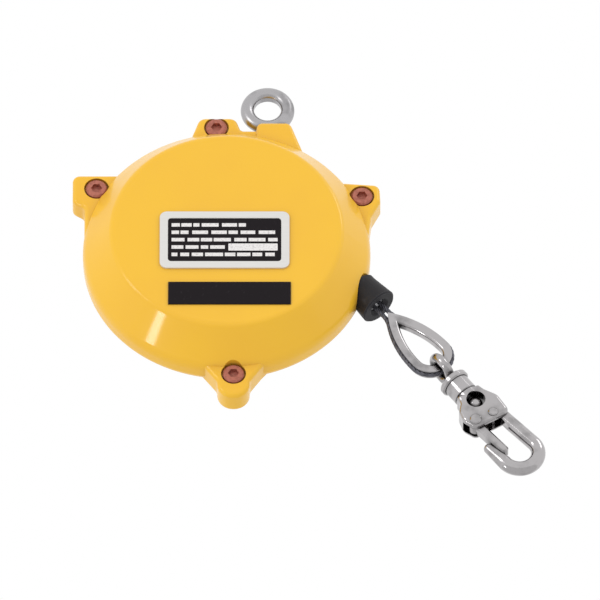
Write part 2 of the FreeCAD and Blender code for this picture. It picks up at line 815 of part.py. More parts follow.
def pawl():
    """Lever built with the tooth face at the origin and the wheel below it."""
    reach = math.sqrt(pawl_pivot_distance ** 2 - pawl_contact_radius ** 2)
    y_start = ratchet_start
    y_end = ratchet_start + pawl_thickness
    nose = ratchet_root_radius + free_gap - pawl_contact_radius
    tooth_turn = math.radians(360 / ratchet_teeth)
    tip_height = ratchet_tip_radius * math.cos(tooth_turn) - pawl_contact_radius + free_gap
    tip_along = ratchet_tip_radius * math.sin(tooth_turn)
    arm = plate([
        (free_gap, nose, 0), (tip_along, tip_height + 0.1, 0), (reach, -pawl_half_width, 0),
        (reach, pawl_half_width + pawl_heel, 0),
        (3 * pawl_half_width, pawl_half_width + pawl_crown, 2),
        (free_gap, pawl_half_width, 1)], y_start, y_end)
    boss = pin_y(pawl_boss_radius - free_gap, y_start, y_end, reach, 0)
    lever = arm.fuse(boss).cut(pin_y(pawl_pin_radius + running_gap, y_start, y_end, reach, 0))
    lever = lever.removeSplitter()
    lever.translate(V(0, 0, pawl_contact_radius))
    lever = lever.mirror(V(0, 0, 0), V(1, 0, 0))
    lever.rotate(V(0, 0, 0), Y_AXIS, 90 - pawl_contact_angle())
    return lever


def pawl_pin():
    x, z = pawl_pivot()
    head_start = ratchet_start + pawl_thickness + pawl_spring_height + 2 * running_gap
    shank = pin_y(pawl_pin_radius, rear_depth - shell_wall, head_start, x, z)
    head = pin_y(pawl_pin_head_radius, head_start, head_start + pawl_pin_head_height, x, z)
    head = fillet_plane(head, head_start + pawl_pin_head_height, 0.3)
    return shank.fuse(head).removeSplitter()


def pawl_spring():
    """Torsion spring round the pawl's pin, with one leg on the pawl."""
    x, z = pawl_pivot()
    start = ratchet_start + pawl_thickness + running_gap
    inner = pawl_pin_radius + running_gap
    outer = inner + 2 * pawl_spring_wire
    coil = ring_y(outer, inner, start, start + pawl_spring_height)
    coil.translate(V(x, 0, z))
    contact = V(*polar(pawl_contact_radius, pawl_contact_angle()), 0)
    along = (V(contact.x, 0, contact.y) - V(x, 0, z)).normalize()
    leg = Part.makeCylinder(pawl_spring_wire, 3 * outer,
                            V(x, start + pawl_spring_wire, z) + along * inner, along)
    return coil.fuse(leg).removeSplitter()


# ==================================================================================
# rope outlet, bumper and loop (built along X, the rope line)
# ==================================================================================
def guide_bush():
    flange_end = bush_flange_start + bush_flange_length
    return turned_on_rope([
        (bush_start, bush_mouth_radius, 0), (bush_start, bush_radius, 0.5),
        (bush_flange_start, bush_radius, 0), (bush_flange_start, bush_flange_radius, 0),
        (flange_end, bush_flange_radius, 0), (flange_end, bush_radius, 0),
        (bush_end, bush_radius, 0), (bush_end, bush_bore_radius + bush_lip_flare, 0),
        (bush_end - bush_lip, bush_bore_radius, 0),
        (bush_start + bush_throat, bush_bore_radius, 2.5)])


def bumper():
    bore = rope_radius + 0.5 * running_gap
    back = bumper_start + bumper_back
    neck_end = back + ferrule_length + 0.4
    return turned_on_rope([
        (bumper_start, bore, 0), (bumper_start, bumper_seat_radius, 0.8),
        (bumper_start + bumper_seat_length, bumper_seat_radius, 0),
        (bumper_end, bumper_mouth_radius, 0.6),
        (bumper_end, bumper_mouth_radius - bumper_wall, 0.5),
        (neck_end, ferrule_half_width + running_gap, 0),
        (back, ferrule_half_width + running_gap, 0), (back, bore, 0)])


def ferrule():
    """Oval sleeve pressed over the rope and its returning end."""
    start = bumper_start + bumper_back + running_gap
    corners = [(-ferrule_half_width, -ferrule_half_depth), (ferrule_half_width, -ferrule_half_depth),
               (ferrule_half_width, ferrule_half_depth), (-ferrule_half_width, ferrule_half_depth)]
    radius = ferrule_half_depth - 0.01
    wire = rounded_wire([(a, b, radius) for a, b in corners], lambda p: V(start, p.y, p.x))
    sleeve = Part.Face(wire).extrude(V(ferrule_length, 0, 0))
    depth = ferrule_length * 0.75
    for side in (-1, 1):
        hole = Part.makeCylinder(rope_radius + press_gap, depth,
                                 V(start + ferrule_length - depth, 0, side * strand_offset),
                                 V(1, 0, 0))
        sleeve = sleeve.cut(hole)
    return on_line(sleeve, rope_origin, rope_angle)


def loop_outline(inset, start):
    """Open pointed loop about the thimble: arcs from one neck end to the other."""
    side_centre = V(loop_centre, 0, loop_radius - loop_side_radius)
    side = loop_side_radius - inset
    round_end = loop_radius - inset
    top = V(loop_centre, 0, round_end)
    entry = side_point(side_centre, side, start)
    middle = side_point(side_centre, side, (start + loop_centre) / 2)
    tip = V(loop_centre + round_end, 0, 0)
    flip = lambda p: V(p.x, 0, -p.z)
    return [Part.Arc(entry, middle, top).toShape(), Part.Arc(top, tip, flip(top)).toShape(),
            Part.Arc(flip(top), flip(middle), flip(entry)).toShape()]


def side_point(centre, radius, along):
    return V(along, 0, centre.z + math.sqrt(radius ** 2 - (along - centre.x) ** 2))


def neck_geometry():
    """Where the strands leave the straight, and where they meet the side arc."""
    low = loop_radius - loop_side_radius
    rise = strand_offset + loop_neck_radius - low
    span = loop_side_radius + loop_neck_radius
    straight_end = loop_centre - math.sqrt(span ** 2 - rise ** 2)
    share = loop_side_radius / span
    meet = V(loop_centre - (loop_centre - straight_end) * share, 0, low + rise * share)
    return straight_end, meet


def loop_path():
    start = bumper_start + bumper_back + 0.3 * ferrule_length + running_gap
    straight_end, meet = neck_geometry()
    neck_centre = V(straight_end, 0, strand_offset + loop_neck_radius)
    towards = (V(straight_end, 0, strand_offset) - neck_centre).normalize()
    towards_meet = (meet - neck_centre).normalize()
    middle = neck_centre + (towards + towards_meet).normalize() * loop_neck_radius
    flip = lambda p: V(p.x, 0, -p.z)
    first = V(start, 0, strand_offset)
    bend = V(straight_end, 0, strand_offset)
    edges = [Part.makeLine(first, bend), Part.Arc(bend, middle, meet).toShape()]
    edges += loop_outline(0, meet.x)
    edges += [Part.Arc(flip(meet), flip(middle), flip(bend)).toShape(),
              Part.makeLine(flip(bend), flip(first))]
    return Part.Wire(edges)


def tube(path, radius, start, direction):
    profile = Part.Wire(Part.makeCircle(radius, start, direction))
    return path.makePipeShell([profile], True, True)


def cable_loop():
    path = loop_path()
    start = path.Edges[0].Vertexes[0].Point
    return on_line(tube(path, rope_radius, start, V(1, 0, 0)), rope_origin, rope_angle)


def thimble():
    """Pointed ring in the loop, grooved outside for the rope."""
    low = loop_radius - loop_side_radius
    outer_tip = loop_centre - math.sqrt(loop_side_radius ** 2 - low ** 2)
    inner_side = loop_side_radius - thimble_wall
    inner_tip = loop_centre - math.sqrt(inner_side ** 2 - low ** 2)
    solid = Part.Face(Part.Wire(loop_outline(0, outer_tip))).extrude(V(0, 2 * thimble_depth, 0))
    hole = Part.Face(Part.Wire(loop_outline(thimble_wall, inner_tip)))
    hole = hole.extrude(V(0, 2 * thimble_depth, 0))
    ring = solid.cut(hole)
    ring.translate(V(0, -thimble_depth, 0))
    lips = [edge for edge in ring.Edges if on_hole_edge(edge)]
    ring = ring.makeFillet(thimble_lip_fillet, lips)
    path = loop_path()
    start = path.Edges[0].Vertexes[0].Point
    ring = ring.cut(tube(path, rope_radius + 0.5 * running_gap, start, V(1, 0, 0)))
    solids = sorted(ring.Solids, key=lambda s: s.Volume)
    return on_line(solids[-1], rope_origin, rope_angle)


def on_hole_edge(edge):
    """True for the hole's edges on the two flat sides of the thimble."""
    box = edge.BoundBox
    if box.YLength > 1e-6:
        return False
    middle = edge.valueAt((edge.FirstParameter + edge.LastParameter) / 2)
    low = loop_radius - loop_side_radius
    if middle.x > loop_centre:
        return math.hypot(middle.x - loop_centre, middle.z) < loop_radius - thimble_wall / 2
    reach = math.hypot(middle.x - loop_centre, abs(middle.z) - low)
    return reach < loop_side_radius - thimble_wall / 2


def cable_run():
    """Rope from the drum to the bush and on to the ferrule."""
    end = bumper_start + bumper_back
    along_bush = bush_start + bush_throat + bush_lip
    points = [V(run_start, groove_first, 0), V(along_bush, 0, 0), V(end, 0, 0)]
    turn = (points[1] - points[0]).getAngle(points[2] - points[1])
    reach = 0.45 * (end - along_bush)
    radius = reach / math.tan(turn / 2)
    first_way = (points[1] - points[0]).normalize()
    bend_start = points[1] - first_way * reach
    bend_end = points[1] + V(reach, 0, 0)
    inward = (V(1, 0, 0) - first_way).normalize()
    middle = points[1] + inward * (radius / math.cos(turn / 2) - radius)
    path = Part.Wire([Part.makeLine(points[0], bend_start),
                      Part.Arc(bend_start, middle, bend_end).toShape(),
                      Part.makeLine(bend_end, points[2])])
    return on_line(tube(path, rope_radius, points[0], first_way), rope_origin, rope_angle)


# ==================================================================================
# swivel, snap hook and gate (built along X, the hook line)
# ==================================================================================
def swivel_link():
    """Eye through the thimble, with the collar and barrel that carry the hook."""
    ring = Part.makeTorus(link_ring_radius, link_wire_radius, V(link_ring_radius, 0, 0), V(0, 0, 1))
    collar_end = link_collar_start + link_collar_length
    barrel = lathed([
        (2 * link_ring_radius, 0, 0), (2 * link_ring_radius, link_wire_radius, 0),
        (link_collar_start, link_barrel_radius, 0), (link_collar_start, link_collar_radius, 0.4),
        (collar_end, link_collar_radius, 0.6), (collar_end, link_barrel_radius, 0),
        (link_barrel_end, link_barrel_radius, 0.6), (link_barrel_end, 0, 0)])
    bore = Part.makeCylinder(rivet_radius + press_gap, link_barrel_end, V(rivet_root, 0, 0),
                             V(1, 0, 0))
    link = ring.fuse(barrel).cut(bore)
    return on_line(link.removeSplitter(), link_pivot, hook_angle)


def swivel_rivet():
    stem = Part.makeCylinder(rivet_radius, ball_distance - rivet_root, V(rivet_root, 0, 0),
                             V(1, 0, 0))
    ball = Part.makeSphere(rivet_ball_radius, V(ball_distance, 0, 0))
    return on_line(stem.fuse(ball).removeSplitter(), link_pivot, hook_angle)


def hook_arm():
    """Round bar from the head round the bend to the nose."""
    bend_top = V(hook_bend_centre, 0, hook_bend_radius)
    bend_low = V(hook_bend_centre, 0, -hook_bend_radius)
    bend_tip = V(hook_bend_centre + hook_bend_radius, 0, 0)
    root = V(arm_root, 0, arm_root_offset)
    lean = (bend_top - root).normalize()
    arm_start = Part.makeCylinder(hook_wire_radius, (bend_top - root).Length, root, lean)
    arc = Part.Wire([Part.Arc(bend_top, bend_tip, bend_low).toShape()])
    bend = tube(arc, hook_wire_radius, bend_top, V(1, 0, 0))
    knee = Part.makeSphere(hook_wire_radius, bend_top)
    nose_point = V(nose_end + nose_radius, 0, -nose_offset)
    towards = nose_point - bend_low
    nose = Part.makeCone(hook_wire_radius, nose_radius, towards.Length, bend_low, towards)
    heel = Part.makeSphere(hook_wire_radius, bend_low)
    tip = Part.makeSphere(nose_radius, nose_point)
    return bend.fuse([arm_start, knee, nose, heel, tip])


def snap_hook():
    outline = [(head_top, -link_barrel_radius, head_neck_corner),
               (head_top, link_barrel_radius, head_neck_corner), *head_outline]
    head = plate(outline, -head_depth, head_depth)
    head = fillet_plane(fillet_plane(head, -head_depth, head_fillet), head_depth, head_fillet)
    neck = Part.makeCylinder(link_barrel_radius, -head_top, V(head_top, 0, 0), V(1, 0, 0))
    hook = head.fuse([neck, hook_arm()])
    window = pin_y(window_radius, -2 * head_depth, 2 * head_depth, 0.5, 0)
    stem_hole = Part.makeCylinder(rivet_radius + free_gap, -head_top + 1, V(head_top - 1, 0, 0),
                                  V(1, 0, 0))
    hook = hook.cut([window, stem_hole, gate_slot(), gate_seat()])
    for place, radius in ((gate_pivot, gate_pin_radius), (spring_pin, spring_pin_radius)):
        hook = hook.cut(pin_y(radius + press_gap, -2 * head_depth, 2 * head_depth, *place))
    return on_line(hook.removeSplitter(), ball_point, hook_angle)


def gate_slot():
    """Slot in the head for the gate's boss, its spring and the gate's swing."""
    along, across = gate_pivot
    depth = gate_depth + gate_slot_gap
    radius = gate_boss_radius + gate_slot_gap
    return plate([(along - radius, across - 3 * radius, 0), (along - radius, across + radius, 1),
                  (along, across + gate_slot_reach, 1), (along + 3 * radius, across + gate_slot_reach, 0),
                  (along + 3 * radius, across - 3 * radius, 0)], -depth, depth)


def along_gate(shape):
    """Turn a piece built along X from the gate's pivot to where the gate lies shut."""
    lean = math.degrees(math.atan2(gate_tip[1] - gate_pivot[1], gate_tip[0] - gate_pivot[0]))
    shape.rotate(V(0, 0, 0), Y_AXIS, -lean)
    shape.translate(V(gate_pivot[0], 0, gate_pivot[1]))
    return shape


def gate_seat():
    """Step in the nose that the shut gate rests against."""
    length = math.dist(gate_pivot, gate_tip) + free_gap
    low = -gate_half_width - free_gap
    depth = gate_depth + free_gap
    return along_gate(plate([(length / 3, low, 0), (length, low, 0.5), (length, 0, 0),
                             (length / 3, 0, 0)], -depth, depth))


def gate():
    length = math.dist(gate_pivot, gate_tip)
    bar = plate([(0, -gate_half_width, 0), (length, -gate_half_width, 0.9),
                 (length, gate_half_width, 1.5), (0, gate_half_width + 0.3, 0)],
                -gate_depth, gate_depth)
    boss = pin_y(gate_boss_radius, -gate_depth, gate_depth)
    lever = bar.fuse(boss).removeSplitter()
    lever = fillet_plane(fillet_plane(lever, -gate_depth, 0.8), gate_depth, 0.8)
    lever = lever.cut(pin_y(gate_pin_radius + running_gap, -gate_depth, gate_depth))
    return on_line(along_gate(lever), ball_point, hook_angle)


def gate_rivets():
    """Hinge rivet of the gate and the pin that holds its spring."""
    rivets = []
    for place, radius in ((gate_pivot, gate_pin_radius), (spring_pin, spring_pin_radius)):
        head_radius = radius + gate_pin_head_radius - gate_pin_radius
        along, across = place
        shank = pin_y(radius, -head_depth, head_depth, along, across)
        front = pin_y(head_radius, -head_depth - gate_pin_head_height, -head_depth, along, across)
        rear = pin_y(head_radius, head_depth, head_depth + gate_pin_head_height, along, across)
        front = fillet_plane(front, -head_depth - gate_pin_head_height, 0.4)
        rear = fillet_plane(rear, head_depth + gate_pin_head_height, 0.4)
        rivets.append(shank.fuse([front, rear]).removeSplitter())
    return on_line(Part.makeCompound(rivets), ball_point, hook_angle)


def gate_spring():
    """Leaf that bears on the spring pin and pushes the gate shut."""
    pin = V(spring_pin[0], 0, spring_pin[1])
    touch = pin + V(-spring_pin_radius - free_gap, 0, 0)
    rest = V(gate_pivot[0] - 0.2, 0, gate_pivot[1] + gate_boss_radius + free_gap)
    leaf_depth = gate_depth - 0.6
    way = rest - touch
    leaf = Part.makeBox(way.Length, 2 * leaf_depth, 0.4, V(0, -leaf_depth, -0.2))
    leaf.rotate(V(0, 0, 0), Y_AXIS, -math.degrees(math.atan2(way.z, way.x)))
    leaf.translate(touch)
    return on_line(leaf, ball_point, hook_angle)


# ==================================================================================
# assembly
# ==================================================================================
def all_parts():
    return {
        "suspension_eye": suspension_eye(),
        "front_cover": front_cover(),
        "rear_cover": rear_cover(),
        "housing_screws": housing_screws(),
        "nameplate": name_plate_blank(),
        "name_strip": name_strip(),
        "guide_bush": guide_bush(),
        "main_shaft": main_shaft(),
        "thrust_washers": thrust_washers(),
        "ratchet_wheel": ratchet_wheel(),
        "shaft_clip": shaft_clip(),
        "pawl_pin": pawl_pin(),
        "pawl_spring": pawl_spring(),
        "pawl": pawl(),
        "drum": drum(),
        "drum_cover": drum_cover(),
        "drum_cover_screws": drum_cover_screws(),
        "drum_bushes": drum_bushes(),
        "cable_wraps": cable_wraps(),
        "cable_anchor": cable_anchor(),
        "power_spring": power_spring(),
        "cable_run": cable_run(),
        "ferrule": ferrule(),
        "bumper": bumper(),
        "cable_loop": cable_loop(),
        "thimble": thimble(),
        "swivel_link": swivel_link(),
        "swivel_rivet": swivel_rivet(),
        "snap_hook": snap_hook(),
        "gate_rivets": gate_rivets(),
        "gate": gate(),
        "gate_spring": gate_spring(),
    }


os.makedirs("parts", exist_ok=True)
for name, shape in all_parts().items():
    shape.translate(V(-eye_x, 0, -eye_z))
    shape.exportStep("parts/" + name + ".step")
    state = "" if shape.isValid() else "  NOT VALID"
    print(f"{name:20s} {len(shape.Solids)} solids {shape.Volume:10.1f} mm3{state}")
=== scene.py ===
"""Dressed model of a spring tool balancer, laid out as an add-on and run as a script."""
import json
import math
import random

import bmesh
import bpy
from mathutils import Matrix, Vector


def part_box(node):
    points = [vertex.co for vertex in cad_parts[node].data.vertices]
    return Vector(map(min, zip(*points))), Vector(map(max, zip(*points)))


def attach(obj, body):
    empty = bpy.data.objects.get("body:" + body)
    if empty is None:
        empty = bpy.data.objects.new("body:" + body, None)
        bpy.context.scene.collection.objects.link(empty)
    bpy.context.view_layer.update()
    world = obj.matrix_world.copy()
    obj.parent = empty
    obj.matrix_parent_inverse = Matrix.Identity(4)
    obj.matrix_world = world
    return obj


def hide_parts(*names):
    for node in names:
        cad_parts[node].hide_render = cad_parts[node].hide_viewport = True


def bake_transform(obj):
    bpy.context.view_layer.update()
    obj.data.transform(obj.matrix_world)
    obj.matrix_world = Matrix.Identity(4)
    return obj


bl_info = {
    "name": "Tool Balancer",
    "version": (1, 0, 0),
    "blender": (4, 5, 0),
    "location": "3D View > Sidebar > Balancer",
    "description": "Finishes, nameplate, wire rope and stage for a spring tool balancer",
    "category": "Object",
}

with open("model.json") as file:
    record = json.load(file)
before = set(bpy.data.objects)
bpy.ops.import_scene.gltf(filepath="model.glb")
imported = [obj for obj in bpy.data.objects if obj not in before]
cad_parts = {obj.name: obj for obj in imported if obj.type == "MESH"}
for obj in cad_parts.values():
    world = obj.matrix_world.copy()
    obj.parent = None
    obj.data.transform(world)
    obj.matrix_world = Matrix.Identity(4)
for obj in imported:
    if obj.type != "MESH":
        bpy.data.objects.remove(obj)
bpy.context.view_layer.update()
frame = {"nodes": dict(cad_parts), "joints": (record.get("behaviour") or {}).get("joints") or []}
NODES = frame["nodes"]
JOINTS = {joint["name"]: joint for joint in frame["joints"]}
MM = 0.001


def joint_place(name):
    return Vector(JOINTS[name]["pos_m"])


def joint_axis(name):
    return Vector(JOINTS[name]["axis"])


def millimetres(name, text, default, low=0.0):
    """A length that the user sees in the scene's units."""
    return bpy.props.FloatProperty(name=name, description=text, default=default * MM,
                                   min=low * MM, precision=5, unit="LENGTH", subtype="DISTANCE")


def colour(name, text, default):
    return bpy.props.FloatVectorProperty(name=name, description=text, default=default, size=3,
                                         min=0.0, max=1.0, subtype="COLOR")


# ---------------------------------------------------------------------------
# Sizes and colours a user would change
# ---------------------------------------------------------------------------
class BalancerFinish(bpy.types.PropertyGroup):
    """Colours and surface grain of the housing and the metalwork."""
    paint: colour("Housing paint", "Warm yellow powder coat", (0.95, 0.54, 0.022))
    paint_worn: colour("Worn paint", "Duller paint on edges and corners", (0.86, 0.44, 0.03))
    # Painted shade: darker, browner paint that goes into corners and where the casting's shapes
    # meet
    paint_grime: colour("Paint grime", "Oily dirt where the casting's shapes meet",
                        (0.42, 0.20, 0.05))
    screw: colour("Screws", "Yellow-chromate plating gone brown", (0.50, 0.17, 0.12))
    zinc: colour("Eye", "Zinc on the suspension eye", (0.44, 0.43, 0.44))
    plating: colour("Hook", "Bright plating on the hook, link and thimble", (0.46, 0.445, 0.45))
    rubber: colour("Bumper", "Rubber of the bumper", (0.018, 0.017, 0.020))
    film: colour("Black film", "Printed black field of the plate and the strip",
                 (0.010, 0.007, 0.009))
    rope: colour("Wire rope", "Oiled steel wire", (0.13, 0.13, 0.15))
    grain: millimetres("Paint grain", "Size of the powder coat's ripple", 1.4, 0.1)


class BalancerPlate(bpy.types.PropertyGroup):
    """Layout of the printed nameplate."""
    border: millimetres("Border", "Bare metal edge round the black field", 3.3)
    recess: millimetres("Recess", "Depth of the field below the border", 0.2)
    film: millimetres("Film", "Thickness of the printed film", 0.06)
    rows: bpy.props.IntProperty(name="Rows", description="Rows of light bars", default=5, min=1)
    row_height: millimetres("Row height", "Height of one light bar", 1.75)
    row_margin: millimetres("Row margin", "Field edge to the first bar", 1.5)
    box_width: millimetres("Box width", "White writing box in the fourth row", 20.5)
    box_height: millimetres("Box height", "Height of the white writing box", 3.6)
    seed: bpy.props.IntProperty(name="Seed", description="Pattern of the bars", default=4)


class BalancerRope(bpy.types.PropertyGroup):
    """Wire rope and the loop that it forms round the thimble."""
    diameter: millimetres("Diameter", "Outside of the rope", 2.0, 0.2)
    lay: millimetres("Lay", "Length of one twist of the strands", 13.0, 1.0)
    strands: bpy.props.IntProperty(name="Strands", description="Outer strands", default=6, min=3)
    groove: bpy.props.FloatProperty(name="Groove", default=0.2, min=0.0, max=0.5, subtype="FACTOR",
                                    description="Depth between strands, as a share of the radius")
    loop_radius: millimetres("Loop radius", "Rope centre line round the thimble's end", 9.2)
    side_radius: millimetres("Side radius", "Curve of the loop's two sides", 45.0)
    neck_radius: millimetres("Neck radius", "Curve where the strands part", 12.0)
    strand_offset: millimetres("Strand offset", "Each strand from the rope line at the neck", 1.5)
    end_to_pivot: millimetres("Loop centre to pivot", "Round end's centre to the link's pivot", 2.8)
    tail: millimetres("Tail", "Strand inside the ferrule and bumper", 12.0)


class BalancerStage(bpy.types.PropertyGroup):
    """Camera, lamps and floor."""
    elevation: bpy.props.FloatProperty(name="Elevation", description="Camera below the object",
                                       default=math.radians(-35), subtype="ANGLE")
    distance: bpy.props.FloatProperty(name="Distance", description="Camera to the object",
                                      default=10.0, min=0.5, unit="LENGTH")
    width: bpy.props.FloatProperty(name="View width", description="Width seen at the object",
                                   default=0.25, min=0.05, unit="LENGTH")
    ambient: bpy.props.FloatProperty(name="Ambient", description="Even light from all round",
                                     default=0.93, min=0.0)
    key: bpy.props.FloatProperty(name="Key", description="Power of the main lamp", default=2.6,
                                 min=0.0, unit="POWER")


def settings():
    return bpy.context.scene.balancer


class BalancerSettings(bpy.types.PropertyGroup):
    """All settings of the balancer."""
    finish: bpy.props.PointerProperty(type=BalancerFinish)
    plate: bpy.props.PointerProperty(type=BalancerPlate)
    rope: bpy.props.PointerProperty(type=BalancerRope)
    stage: bpy.props.PointerProperty(type=BalancerStage)


# ---------------------------------------------------------------------------
# Shader writing: a socket that takes part in sums
# ---------------------------------------------------------------------------
class Sock:
    """An output socket; arithmetic on it adds Math nodes to its material."""

    def __init__(self, shader, socket):
        self.shader = shader
        self.socket = socket

    def _math(self, operation, first, second=None, clamp=False):
        values = [first] if second is None else [first, second]
        return self.shader.node("ShaderNodeMath", {"operation": operation, "use_clamp": clamp},
                                dict(enumerate(values)))

    def __add__(self, other):
        return self._math("ADD", self, other)

    __radd__ = __add__

    def __sub__(self, other):
        return self._math("SUBTRACT", self, other)

    def __rsub__(self, other):
        return self._math("SUBTRACT", other, self)

    def __mul__(self, other):
        return self._math("MULTIPLY", self, other)

    __rmul__ = __mul__

    def clamped(self):
        return self._math("ADD", self, 0.0, clamp=True)

    def power(self, exponent):
        return self._math("POWER", self, exponent)

    def sine(self):
        return self._math("SINE", self)


class Shader:
    """One procedural material."""

    edge_gain = 6.0                       # how quickly an edge's mask fills as its normal turns
    crevice_gain = 1.6                    # the same for a corner as it closes in
    mix_sockets = (0, 6, 7)               # factor and the two colours of a Mix node
    mix_result = 2

    def __init__(self, name):
        self.material = bpy.data.materials.new(name)
        self.material.use_nodes = True
        self.tree = self.material.node_tree
        self.surface = self.tree.nodes["Principled BSDF"]
        coordinates = self.tree.nodes.new("ShaderNodeTexCoord")
        self.place = Sock(self, coordinates.outputs["Object"])

    def node(self, kind, options=None, inputs=None, output=0):
        made = self.tree.nodes.new(kind)
        for key, value in (options or {}).items():
            setattr(made, key, value)
        for key, value in (inputs or {}).items():
            self.feed(made.inputs[key], value)
        return Sock(self, made.outputs[output])

    def feed(self, socket, value):
        if isinstance(value, Sock):
            self.tree.links.new(value.socket, socket)
        elif socket.type == "RGBA":
            socket.default_value = (*tuple(value)[:3], 1.0)
        else:
            socket.default_value = value

    def noise(self, size, detail=3.0, stretch=(1, 1, 1), roughness=0.5):
        """Noise whose blobs are about this many millimetres across."""
        scale = 1.0 / (size * MM)
        mapped = self.node("ShaderNodeMapping", {},
                           {"Vector": self.place, "Scale": Vector(stretch) * scale})
        return self.node("ShaderNodeTexNoise", {}, {"Vector": mapped, "Scale": 1.0,
                                                    "Detail": detail, "Roughness": roughness})

    def cells(self, size):
        """Distance from the middle of cells about this many millimetres across."""
        scale = 1.0 / (size * MM)
        return self.node("ShaderNodeTexVoronoi", {"feature": "F1"},
                         {"Vector": self.place, "Scale": scale}, "Distance")

    def edges(self, reach):
        """0 on flats, 1 on sharp outer edges, from a bevelled normal."""
        rounded = self.node("ShaderNodeBevel", {"samples": 4}, {"Radius": reach * MM})
        true = self.node("ShaderNodeNewGeometry", output="Normal")
        match = self.node("ShaderNodeVectorMath", {"operation": "DOT_PRODUCT"},
                          {0: rounded, 1: true}, "Value")
        return ((1.0 - match) * self.edge_gain).clamped()

    def crevices(self, reach):
        """0 in the open, 1 deep in a corner or hole, judged over this many millimetres; the mask
        for painted shade.
        """
        open_share = self.node("ShaderNodeAmbientOcclusion", {"samples": 8},
                               {"Distance": reach * MM}, "AO")
        return ((1.0 - open_share) * self.crevice_gain).clamped()

    def ramp(self, factor, low, high):
        """0 below low, 1 above high, with a soft change between."""
        return self.node("ShaderNodeMapRange", {"interpolation_type": "SMOOTHSTEP"},
                         {"Value": factor, "From Min": low, "From Max": high})

    def mix(self, factor, first, second):
        """The first colour where the factor is 0, the second where it is 1."""
        return self.node("ShaderNodeMix", {"data_type": "RGBA"},
                         dict(zip(self.mix_sockets, (factor, first, second))), self.mix_result)

    def bump(self, height, depth, strength):
        """Normal from a height of 0 to 1 that stands for this many millimetres."""
        return self.node("ShaderNodeBump", {}, {"Height": height, "Distance": depth * MM,
                                                "Strength": strength})

    def finish(self, **values):
        """The material, with values for the surface's sockets; _ stands for a space."""
        for key, value in values.items():
            self.feed(self.surface.inputs[key.replace("_", " ")], value)
        return self.material


# ---------------------------------------------------------------------------
# Finishes
# ---------------------------------------------------------------------------
def darker(tint, share):
    """A colour with every channel at this share of its value."""
    return tuple(channel * share for channel in tint)


def powder_paint():
    """Glossy powder coat over a casting: fine ripple, slow colour drift, worn edges, painted shade
    in corners.
    """
    finish = settings().finish
    shader = Shader("powder_paint")
    ripple = shader.noise(size=finish.grain / MM, detail=2.0)
    casting = shader.noise(size=9.0, detail=3.0)
    drift = shader.ramp(shader.noise(size=38.0, detail=2.0), low=0.35, high=0.7)
    edge = shader.edges(reach=1.1)
    scratches = shader.noise(size=2.6, detail=6.0, stretch=(1, 1, 0.3), roughness=0.7)
    scuff = shader.ramp(scratches, low=0.63, high=0.7)
    base = shader.mix(drift * 0.22, finish.paint, finish.paint_worn)
    base = shader.mix((edge * scuff * 0.7).clamped(), base, finish.paint_worn)
    # painted shade: corners and joins, found by ambient occlusion, go darker and browner
    base = shader.mix(shader.crevices(reach=5.0) * 0.55, base, finish.paint_grime)
    return shader.finish(Base_Color=base, Roughness=0.34 + 0.10 * drift + 0.12 * scuff,
                         Coat_Weight=0.5, Coat_Roughness=0.10, Specular_IOR_Level=0.3,
                         Normal=shader.bump(ripple * 0.5 + casting * 0.5,
                                            depth=0.16, strength=0.35))


def plated_steel(name, tint, roughness, patina):
    """Electroplated steel with faint stains, fine tumbling marks and painted shade in its corners.
    """
    shader = Shader(name)
    stain = shader.ramp(shader.noise(size=7.0, detail=4.0), low=0.45, high=0.75)
    marks = shader.noise(size=0.5, detail=4.0)
    # painted shade: corners and joins between parts darken to 14 % of the tint
    corner = shader.crevices(reach=3.0)
    stained = shader.mix(stain * 0.8, tint, darker(tint, 1.0 - patina))
    return shader.finish(Base_Color=shader.mix(corner, stained, darker(tint, 0.14)), Metallic=1.0,
                         Roughness=roughness + 0.08 * stain + 0.05 * marks,
                         Normal=shader.bump(marks, depth=0.02, strength=0.4))


def suspension_zinc():
    finish = settings().finish
    return plated_steel("suspension_zinc", finish.zinc, roughness=0.24, patina=0.4)


def hook_plating():
    finish = settings().finish
    return plated_steel("hook_plating", finish.plating, roughness=0.12, patina=0.45)


def screw_plating():
    """Chromate gone brown, with a darker grain."""
    finish = settings().finish
    shader = Shader("screw_plating")
    grain = shader.ramp(shader.noise(size=1.1, detail=4.0), low=0.35, high=0.7)
    base = shader.mix(grain * 0.6, finish.screw, darker(finish.screw, 0.6))
    return shader.finish(Base_Color=base, Metallic=0.45, Roughness=0.42 + 0.15 * grain,
                         Normal=shader.bump(grain, depth=0.03, strength=0.5))


def turned_steel():
    """Steel with turning rings about the drum's axis and painted shade in its corners."""
    tint = (0.48, 0.48, 0.50)
    ring_pitch = 0.45 * MM
    shader = Shader("turned_steel")
    centre = joint_place("drum_spin")
    place_x = shader.node("ShaderNodeSeparateXYZ", {}, {"Vector": shader.place}, "X")
    across = place_x - centre.x
    upward = Sock(shader, place_x.socket.node.outputs["Z"]) - centre.z
    radius = (across * across + upward * upward).power(0.5)
    rings = (radius * (2 * math.pi / ring_pitch)).sine() * 0.5 + 0.5
    cloud = shader.ramp(shader.noise(size=4.0, detail=4.0), low=0.4, high=0.7)
    # painted shade: corners and joins between parts darken to 12 % of the tint
    corner = shader.crevices(reach=2.5)
    turned = shader.mix(cloud * 0.6 + rings * 0.2, tint, darker(tint, 0.55))
    return shader.finish(Base_Color=shader.mix(corner, turned, darker(tint, 0.12)), Metallic=1.0,
                         Roughness=0.22 + 0.14 * cloud + 0.06 * rings,
                         Normal=shader.bump(rings, depth=0.02, strength=0.7))


def plate_aluminium():
    """Thin rolled sheet, brushed along its length."""
    bright, dull = (0.78, 0.77, 0.74), (0.62, 0.61, 0.60)
    shader = Shader("plate_aluminium")
    brush = shader.noise(size=0.35, detail=3.0, stretch=(0.05, 1, 1))
    return shader.finish(Base_Color=shader.mix(brush * 0.35, bright, dull),
                         Metallic=0.35, Roughness=0.36 + 0.12 * brush,
                         Normal=shader.bump(brush, depth=0.01, strength=0.4))


